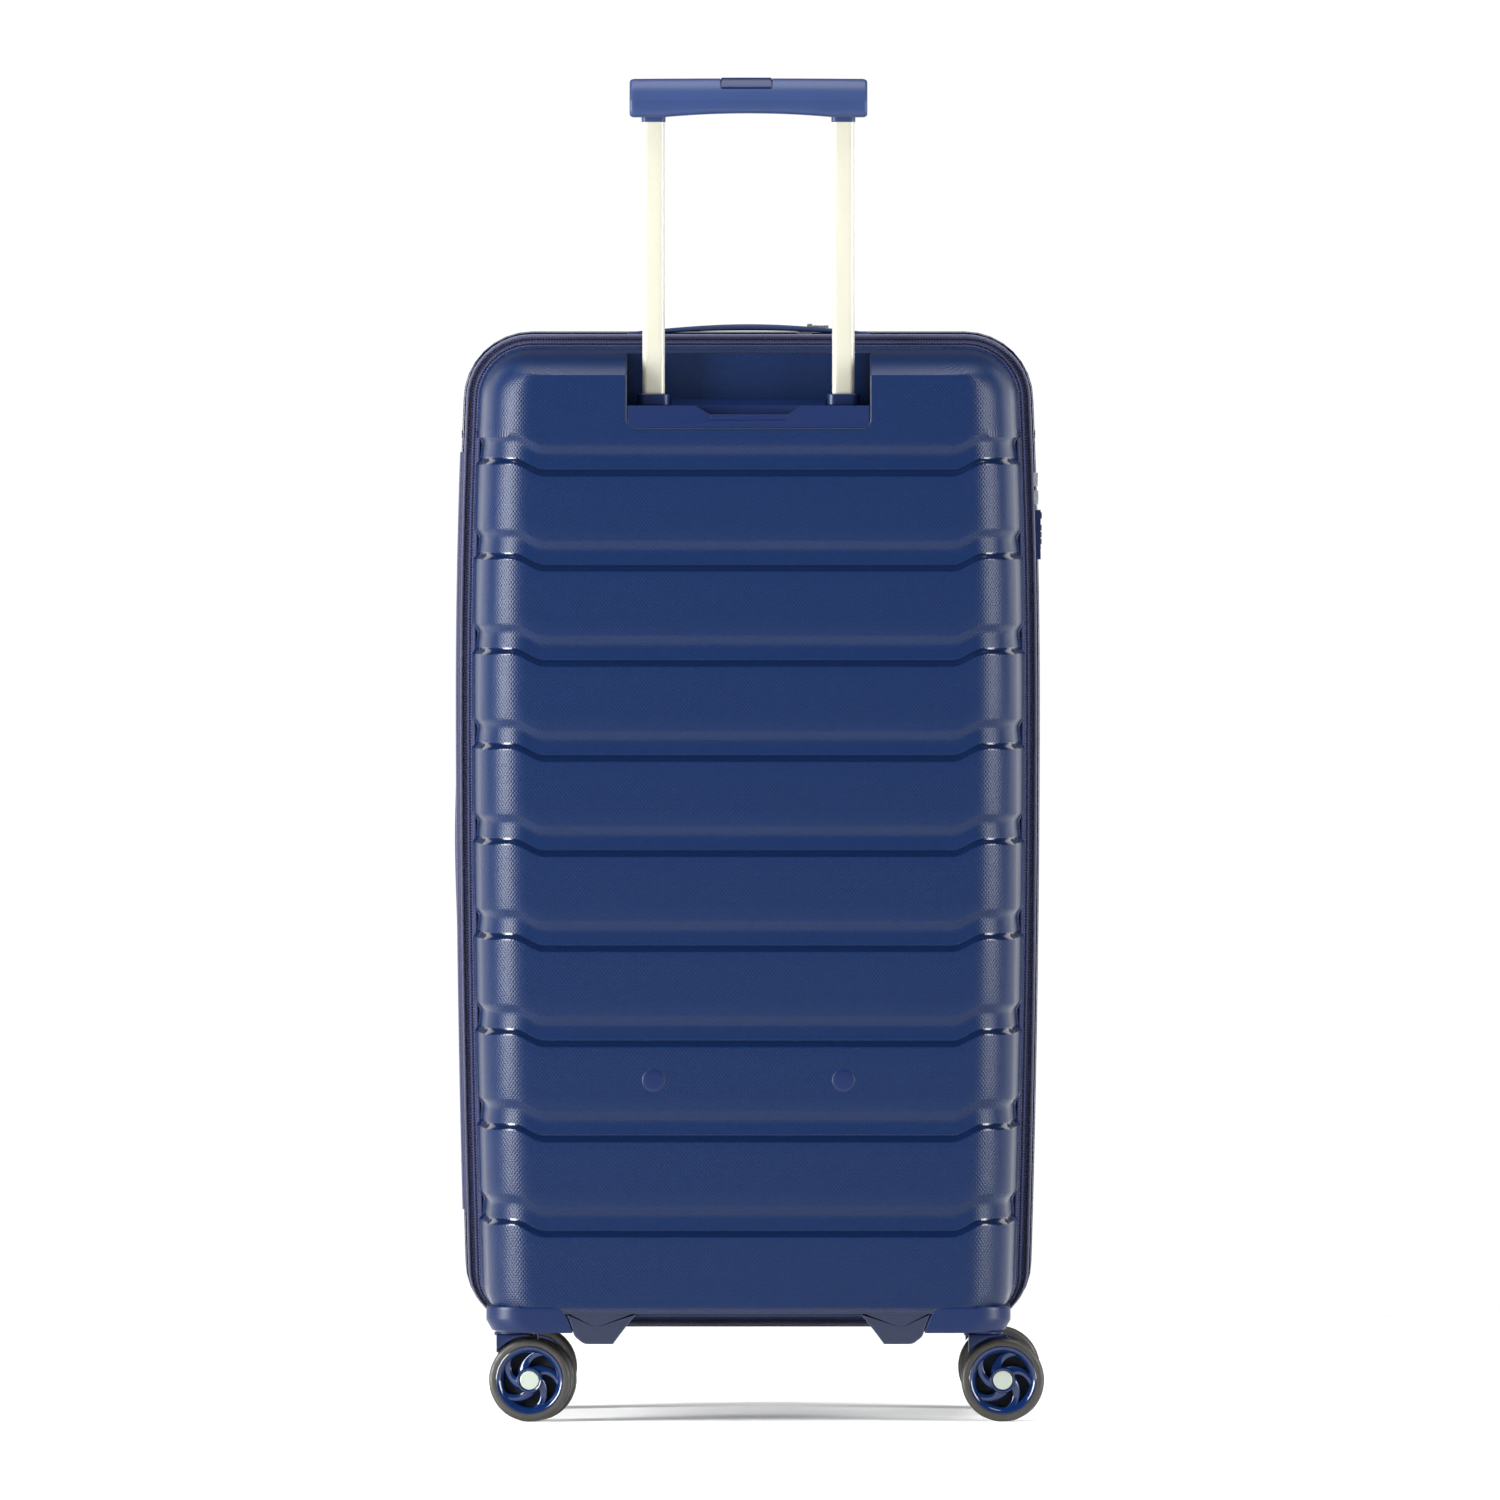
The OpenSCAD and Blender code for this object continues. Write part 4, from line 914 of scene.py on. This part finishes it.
def handleSeats():
    # a rounded frame round each leg, proud of the band
    frameShape = []
    outer, inner = roundBar(20, 24, 4), roundBar(8.9, 12.9, 1.2)
    rings = [(outer, -1.2), (outer, 1.2), (outer * 0.95, 1.9), (inner * 1.08, 1.9), (inner, 1.5),
             (inner, -1.2)]
    points = np.stack([np.concatenate([loop, np.full((len(loop), 1), z)], 1) for loop, z in rings])
    one = grid(points, closeRows=True, closeColumns=True)
    for side in (-1, 1):
        there = moved(one, shift=(side * legX, 0, 0))
        frameShape += [moved(there, shift=(0, handleY, topSeat)),
                       moved(there, sideTurn, (-sideSeat, handleY, sideHandleZ))]
    return joined(frameShape)


makePiece("handleSeats", handleSeats(), "front_half", "satin", ["handle_end_plates"])


softened("trolley_base", "satin", 0.9, 3)
softened("tube_collars", "satin", 1.0, 3)


# where the trolley's tubes stand, left and right of the middle
tubeX, tubeY = 68.4, -164


def makeTubes():
    for side, name in ((-1, "left"), (1, "right")):
        outline = roundBar(16.2, 12, 4.2, 8)
        tube = prism(outline, [445, 446, 946.9], "z", [0.6, 0, 0])
        makePiece("drawTube_" + name, moved(tube, shift=(side * tubeX, tubeY, 0)), "trolley",
                  "tube", ["inner_tube_" + name], smoothAngle=40)


makeTubes()

gripForm = {"base": 941.0, "half": 85.7,
            "section": [(-178.5, 0.2, 2.0), (-181, 4, 2.5), (-180.6, 12.0, 0.8), (-177, 21.5, 4),
                        (-170.5, 28, 3.5), (-159, 27.4, 4), (-151.6, 20, 3.5), (-151, 4, 3), (-154, 0.2, 2)]}


def makeGrip():
    # the section is carried along x; near the ends it shrinks a little towards its middle, the
    # underside rises in the middle for the fingers and the top is slightly crowned
    section = rounded(gripForm["section"], 5)
    middle = np.array([-166.0, 14.0])
    reach = gripForm["half"]
    x = np.concatenate([[-reach, -reach + 0.25, -reach + 0.8, -reach + 1.8, -reach + 3.4],
                        np.linspace(-reach + 6, reach - 6, 45),
                        [reach - 3.4, reach - 1.8, reach - 0.8, reach - 0.25, reach]])
    near = np.clip((reach - np.abs(x)) / 3.4, 0, 1)
    draw = 2.4 * (1 - np.sqrt(1 - (1 - near) ** 2))
    away = section - middle
    size = np.linalg.norm(away, axis=1, keepdims=True)
    flat = middle + away * (1 - draw[:, None, None] / size[None])
    low = np.clip(1 - flat[..., 1] / 12, 0, 1)
    relief = 2.9 * (1 - (x / 62) ** 2).clip(0)[:, None]
    crown = 0.9 * (1 - (x / reach) ** 2)[:, None] * np.clip(flat[..., 1] / 28 - 0.6, 0, 1)
    z = gripForm["base"] + flat[..., 1] + low * relief + crown - 0.3
    points = np.stack([np.broadcast_to(x[:, None], z.shape), flat[..., 0], z], -1)
    grip = makePiece("gripBody", capped(points), "trolley", "grip", ["grip"], smoothAngle=28)
    recess = rounded([(-20.3, -177.3, 1.6), (17.3, -177.3, 1.6), (17.3, -159.7, 2), (-20.3, -159.7, 2)])
    cutOut(grip, prism(recess, [956, 990], "z"))
    # the button repeats the section over its own length
    bx = np.concatenate([[-20, -19.7, -19], np.linspace(-17, 14, 9), [16, 16.7, 17]])
    edge = np.clip(np.minimum(bx + 20, 17 - bx) / 1.0, 0, 1)
    cut = np.array([p for p in section if p[1] > 17.5 and -177 < p[0] < -159.2])
    cut = np.concatenate([[[-176.9, 18.0]], cut, [[-160, 18.0]]])
    lift = gripForm["base"] + 0.9 * (1 - (bx / reach) ** 2)[:, None] * np.clip(cut[:, 1] / 28 - 0.6, 0, 1) \
        + cut[:, 1] + 0.3 - 0.8 * (1 - edge[:, None]) * (cut[:, 1] > 18.5)
    button = np.stack([np.broadcast_to(bx[:, None], lift.shape), np.broadcast_to(cut[:, 0], lift.shape),
                       lift], -1)
    makePiece("gripButton", capped(button), "release", "satin", ["release_button"],
              smoothAngle=28)
    collar = prism(roundBar(17.4, 13.2, 4.6, 8), [937.4, 937.8, 943], "z", [0.4, 0, 0])
    makePiece("gripCollars", joined([moved(collar, shift=(side * tubeX, tubeY, 0)) for side in (-1, 1)]),
              "trolley", "grip")


def cutOut(piece, shape):
    # takes a closed shape out of a piece for good
    mesh = bpy.data.meshes.new("cutter")
    mesh.from_pydata((shape[0] * mm).tolist(), [], shape[1].tolist())
    finishMesh(mesh)
    cutter = bpy.data.objects.new("cutter", mesh)
    bpy.context.scene.collection.objects.link(cutter)
    tool = piece.modifiers.new("cut", "BOOLEAN")
    tool.operation, tool.solver, tool.object = "DIFFERENCE", "EXACT", cutter
    bpy.context.view_layer.update()
    done = bpy.data.meshes.new_from_object(piece.evaluated_get(bpy.context.evaluated_depsgraph_get()))
    piece.modifiers.clear()
    piece.data = done
    bpy.data.objects.remove(cutter)
    done.set_sharp_from_angle(angle=math.radians(28))


makeGrip()
plug = lathe([(0.01, 0.5), (5, 0.5), (7.3, 0.45), (7.9, 0.2), (9.3, -0.5), (9.4, -0.9), (9.4, -2.6),
              (0.01, -2.6)])
faceOut = [[1, 0, 0], [0, 0, -1], [0, 1, 0]]
plugs = [moved(grid(plug, closeColumns=True), faceOut, (side * tubeX, -190, 247)) for side in (-1, 1)]
makePiece("screwPlugs", joined(plugs), "rear_half", "satin", ["screw_plugs"])
print("trolley made")


softened("lock_housing", "satin", 1.4, 3)
for number in (1, 2, 3):
    softened("lock_dial_%d" % number, "black", 0)
softened("lock_release", "satin", 0.8, 2)
softened("key_cylinder", "steel", 0.25, 2)
softened("main_zip_sliders", "steel", 0.8, 3)
softened("expander_slider", "steel", 0.4, 2)
softened("expander_pull", "steel", 0.5, 2)


housingForm = {"front": -190.4, "back": -82.0, "corner": 26.0,
               "inner": [(65, 126.4), (75.6, 130.6), (79, 132.2), (81, 133.8), (82.6, 136.2), (83.6, 139.6),
                         (84, 144)],
               "outer": [(65, 181), (67, 185), (74, 189), (84, 189)]}


def housingShape():
    # plan outlines stacked upwards between the sloping inner side and the outer side, edges eased
    f = housingForm
    levels = np.array([65, 65.2, 65.8, 67, 70, 74, 75.6, 78, 80.5, 82.2, 83.2, 83.8, 84])
    ease = [1.2, 0.6, 0.1, 0, 0, 0, 0, 0, 0, 0, 0.1, 0.5, 1.1]
    loops = []
    for z, e in zip(levels, ease):
        low, high = (np.interp(z, *np.array(f[side]).T) for side in ("inner", "outer"))
        a = np.radians(np.linspace(-90, 0, 13))
        r = f["corner"] - e
        x = np.concatenate([[low + e, low + e + 1.0, 0.5 * (low + high)], high - e - r + r * np.cos(a),
                            [high - e, low + e]])
        y = np.concatenate([[f["front"] + e + 1.0, f["front"] + e, f["front"] + e],
                            f["front"] + e + r + r * np.sin(a), [f["back"] - e, f["back"] - e]])
        loops.append(np.stack([x, y, 0 * x + z], 1))
    return capped(np.stack(loops))


for row, sy in (("rear", 1), ("front", -1)):
    for side, sx in (("left", -1), ("right", 1)):
        corner = row + "_" + side
        points, quads = housingShape()
        makePiece(corner + "_mount", (points * [sx, sy, 1], quads), "rear_half" if sy > 0 else "front_case",
                  "satin", [corner + "_housing"])
        softened(corner + "_axle", "cap", 0.5, 3)


def forkShape():
    # hood over both wheels, a web down to the axle and a round swivel disc; wheels trail to +x
    x = np.concatenate([[13, 12.4], np.linspace(11, -9, 11), [-10.2, -10.6]])
    low = 30 + np.sqrt(31.6 ** 2 - (x - 14) ** 2)
    high = np.where(x > 12.5, 63.0, 63.3)
    loops = []
    for place, a, b in zip(x, low, high):
        outline = roundBar(29.6, b - a, min(1.4, 0.45 * (b - a)), 5) + [0, (a + b) / 2]
        loops.append(np.stack([0 * outline[:, 0] + place, outline[:, 0], outline[:, 1]], 1))
    loops[0] = loops[0] * [1, 0.97, 1]
    loops[-1] = loops[-1] * [1, 0.95, 1]
    hood = capped(np.stack(loops))
    web = prism(rounded([(-8.5, 56, 1), (6.6, 27.5, 4), (14, 22.3, 5), (21.6, 30, 5), (17.5, 62.8, 1),
                         (-8.5, 62.8, 1)]), [-4, -3.4, 3.4, 4], "y", [0.6, 0, 0, 0.6])
    disc = grid(lathe([(0.01, 61.8), (13.4, 61.8), (14, 62.4), (14, 64.2), (13.6, 64.5), (4.95, 64.5),
                       (4.95, 80.9), (0.01, 80.9)]), closeColumns=True)
    return joined([hood, web, disc])


wheelForm = {"radius": 30.0, "width": 13.0, "seat": 24.4, "trail": 14.0, "web": 4.6, "spokes": 5,
             "casterX": 169.5, "casterY": 138.0}


def spokeShape():
    # a blade from hub to rim that leans round as it goes out, thick in the middle of its width
    t = np.linspace(0, 1, 9)
    radius = 8.6 + 12.6 * t
    swirl = np.radians(34 - 58 * t)
    half = 5.0 - 0.9 * np.sin(np.pi * t) + 0.5 * t
    front = 11.2 - 1.6 * np.sin(np.pi * t * 0.9)
    a = np.linspace(0, 2 * np.pi, 16, endpoint=False)
    u = np.sign(np.cos(a)) * np.abs(np.cos(a)) ** 0.6
    v = np.sign(np.sin(a)) * np.abs(np.sin(a)) ** 0.6
    outwards = np.stack([np.cos(swirl), np.sin(swirl)], 1)
    across = np.stack([-np.sin(swirl), np.cos(swirl)], 1)
    flat = outwards[:, None] * radius[:, None, None] + across[:, None] * (half[:, None] * u)[..., None]
    z = (front[:, None] + 3.2) / 2 + v * (front[:, None] - 3.2) / 2
    return capped(np.concatenate([flat, z[..., None]], -1))


def wheelShapes():
    f = wheelForm
    w, r, s = f["width"], f["radius"], f["seat"]
    tyre = lathe([(s, 0.6), (r - 3, 0.1), (r - 1.4, 0.5), (r - 0.4, 1.5), (r, 3.2), (r, w - 3.2),
                  (r - 0.4, w - 1.5), (r - 1.4, w - 0.5), (r - 3, w - 0.1), (s + 0.3, w - 0.35),
                  (s, w - 0.8)], 72)
    lip = lathe([(19.4, 1.6), (s, 0.6), (s, w - 0.2), (s - 0.5, w + 0.05), (s - 1.3, w - 0.1),
                 (21.8, w - 1.2), (20.4, w - 2.6), (19.6, w - 4)], 72)
    hub = lathe([(3.1, 0.4), (9.2, 0.4), (9.4, w - 1.2), (9.0, w - 0.6), (8.2, w - 0.4), (7.5, w - 0.7),
                 (7.3, w - 1.8), (3.1, w - 1.8)], 48)
    back = lathe([(9.2, 1.0), (19.8, 1.0), (19.8, 2.0), (9.2, 2.0)], 48)
    blade = spokeShape()
    spokes = []
    for k in range(f["spokes"]):
        a = 2 * np.pi * k / f["spokes"] + 0.3
        turn = [[np.cos(a), -np.sin(a), 0], [np.sin(a), np.cos(a), 0], [0, 0, 1]]
        spokes.append(moved(blade, turn))
    tyre, lip, hub, back = (grid(turned, closeRows=True, closeColumns=True)
                            for turned in (tyre, lip, hub, back))
    return tyre, joined([lip, hub] + spokes), back


def wheelPlace(shape, s):
    # from the wheel's own frame to the caster's: axle along y, trailing behind the swivel axis
    f = wheelForm
    return moved(shape, [[1, 0, 0], [0, 0, s], [0, -s, 0]], (f["trail"], s * f["web"], f["radius"]))


def casterPlace(shape, sx, sy, turn):
    a = math.radians(turn)
    spin = [[math.cos(a), -math.sin(a), 0], [math.sin(a), math.cos(a), 0], [0, 0, 1]]
    return moved(shape, spin, (sx * wheelForm["casterX"], sy * wheelForm["casterY"], 0))


tyreShape, rimShape, backShape = wheelShapes()
for corner, sx, sy, turn in (("rear_left", -1, -1, -8), ("rear_right", 1, -1, 0), ("front_left", -1, 1, 0),
                             ("front_right", 1, 1, 0)):
    makePiece(corner + "_hood", casterPlace(forkShape(), sx, sy, turn), corner + "_caster",
              "satin", [corner + "_fork"])
    for kind, shape, slot, finish in (("tyres", tyreShape, "tyre_rubber", "tyre"),
                                      ("rims", rimShape, "rim_plastic", "rim"),
                                      ("discs", backShape, "rim_plastic", "gap")):
        pair = joined([casterPlace(wheelPlace(shape, s), sx, sy, turn) for s in (-1, 1)])
        makePiece(corner + "_" + kind + "_made", pair, corner + "_wheels", finish,
                  [corner + "_" + kind] if kind != "discs" else (), smoothAngle=35)
print("casters made")


softened("rear_straps", "strap", 0)
softened("strap_buckles", "black", 2.0, 3)
softened("divider", "lining", 0)


def makeLining(name, node, body, half, low, high, y0, y1):
    # a cloth panel with soft waves and a rolled edge; both faces are drawn
    x, z = np.linspace(-half, half, 41), np.linspace(low, high, 61)
    gx, gz = np.meshgrid(x, z, indexing="ij")
    inner = np.minimum(half - np.abs(gx), np.minimum(gz - low, high - gz))
    full = np.clip(inner / 14, 0, 1)
    wave = 0.28 * full * np.sin(gx / 23 + 1.7 * np.sin(gz / 71)) * np.cos(gz / 39)
    thick = (y1 - y0) / 2 * (0.55 + 0.45 * np.clip(1 - inner / 5, 0, 1))
    middle = (y0 + y1) / 2
    front = np.stack([gx, middle - thick * 0.8 + wave * 0.6, gz], -1)
    back = np.stack([gx, middle + thick * 0.8 + wave * 0.6, gz], -1)
    # point numbers round the edge of the panel, which is m columns of k points
    m, k = gx.shape
    edge = np.concatenate([np.arange(m) * k, (m - 1) * k + np.arange(1, k),
                           np.arange(m - 2, -1, -1) * k + k - 1, np.arange(k - 2, 0, -1)])
    a, b = grid(front), grid(back)
    n = len(a[0])
    following = np.roll(edge, -1)
    rim = np.stack([edge, following, following + n, edge + n], 1)
    shape = (np.concatenate([a[0], b[0]]), np.concatenate([a[1], b[1][:, ::-1] + n, rim]))
    piece = makePiece(name, shape, body, "lining", [node],
                      np.tile(np.stack([gx, gz], -1).reshape(-1, 2), (2, 1)))


makeLining("rearLining", "rear_lining", "rear_half", 160, 120, 704, -153, -150)
makeLining("frontLining", "front_lining", "front_case", 150, 120, 704, 181, 184.5)

dress(["outer_tube_left", "outer_tube_right"], "sleeve")
dress(["tube_anchors", "tube_glides"], "black")
dress(["anchor_screws", "push_rods"], "steel")


def springShape(x):
    # a wire wound round a push rod, three turns and a bit
    t = np.linspace(0, 2 * np.pi * 3.3, 80)
    a = np.linspace(0, 2 * np.pi, 8, endpoint=False)
    reach = 3.65 + 0.42 * np.cos(a)
    z = 947.6 + 3.0 * t / t[-1]
    return capped(np.stack([x + np.cos(t)[:, None] * reach, tubeY + np.sin(t)[:, None] * reach,
                            z[:, None] + 0.42 * np.sin(a)], -1))


springs = makePiece("buttonCoils", joined([springShape(-tubeX), springShape(tubeX)]), "trolley",
                    "steel", ["button_springs"])
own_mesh(springs)
print("inside made")


# strengths of the horizon, the dome and the soft lights
studio = {"horizon": 1.02, "dome": 0.10, "left": 330, "right": 165, "top": 130, "back": 14, "floor": 0.19}


def softbox(name, place, aim, size, power):
    data = bpy.data.lights.new(name, "AREA")
    data.shape, data.size, data.size_y, data.energy = "RECTANGLE", size[0], size[1], power
    light = bpy.data.objects.new(name, data)
    bpy.context.scene.collection.objects.link(light)
    light.location = place
    light.rotation_euler = (Vector(aim) - Vector(place)).to_track_quat("-Z", "Y").to_euler()
    return light


def lightStudio():
    world = bpy.data.worlds.new("paleStudio")
    world.use_nodes = True
    tree = world.node_tree
    # white below the horizon, fading smoothly to a dim ceiling just above it
    way = addNode(tree, "TexCoord").outputs["Generated"]
    up = addNode(tree, "SeparateXYZ", {"Vector": way}).outputs["Z"]
    strength = addNode(tree, "MapRange", {"Value": up, "From Min": 0.03, "From Max": 0.09,
                                          "To Min": studio["horizon"], "To Max": studio["dome"]},
                       interpolation_type="SMOOTHSTEP").outputs["Result"]
    background = tree.nodes["Background"]
    background.inputs["Color"].default_value = linear("#ffffff")
    tree.links.new(strength, background.inputs["Strength"])
    bpy.context.scene.world = world
    bpy.context.scene.view_settings.view_transform = "Standard"
    softbox("leftBox", (-2.75, -1.6, 0.9), (0, 0, 0.5), (1.3, 2.2), studio["left"])
    softbox("rightBox", (2.85, -1.5, 0.9), (0, 0, 0.5), (1.1, 2.2), studio["right"])
    softbox("topBox", (0, -0.45, 3.0), (0, -0.1, 0), (3.4, 1.4), studio["top"])
    softbox("backLeft", (-2.2, 2.4, 1.4), (0, 0, 0.5), (1.2, 2.0), studio["back"])
    softbox("backRight", (2.3, 2.3, 1.4), (0, 0, 0.5), (1.2, 2.0), studio["back"])


def makeFloor():
    mesh = bpy.data.meshes.new("floor")
    reach = 2.4
    mesh.from_pydata([(-reach, -reach, 0), (reach, -reach, 0), (reach, reach, 0), (-reach, reach, 0)], [],
                     [(0, 1, 2, 3)])
    floor = bpy.data.objects.new("floor", mesh)
    bpy.context.scene.collection.objects.link(floor)
    # a light table: translucent white acrylic lit a little from below
    material, shader = startMaterial("paleLightTable", "#eeeeec", Roughness=0.9,
                                     Emission_Strength=studio["floor"])[::2]
    shader.inputs["Emission Color"].default_value = linear("#ffffff")
    mesh.materials.append(material)


lightStudio()
makeFloor()
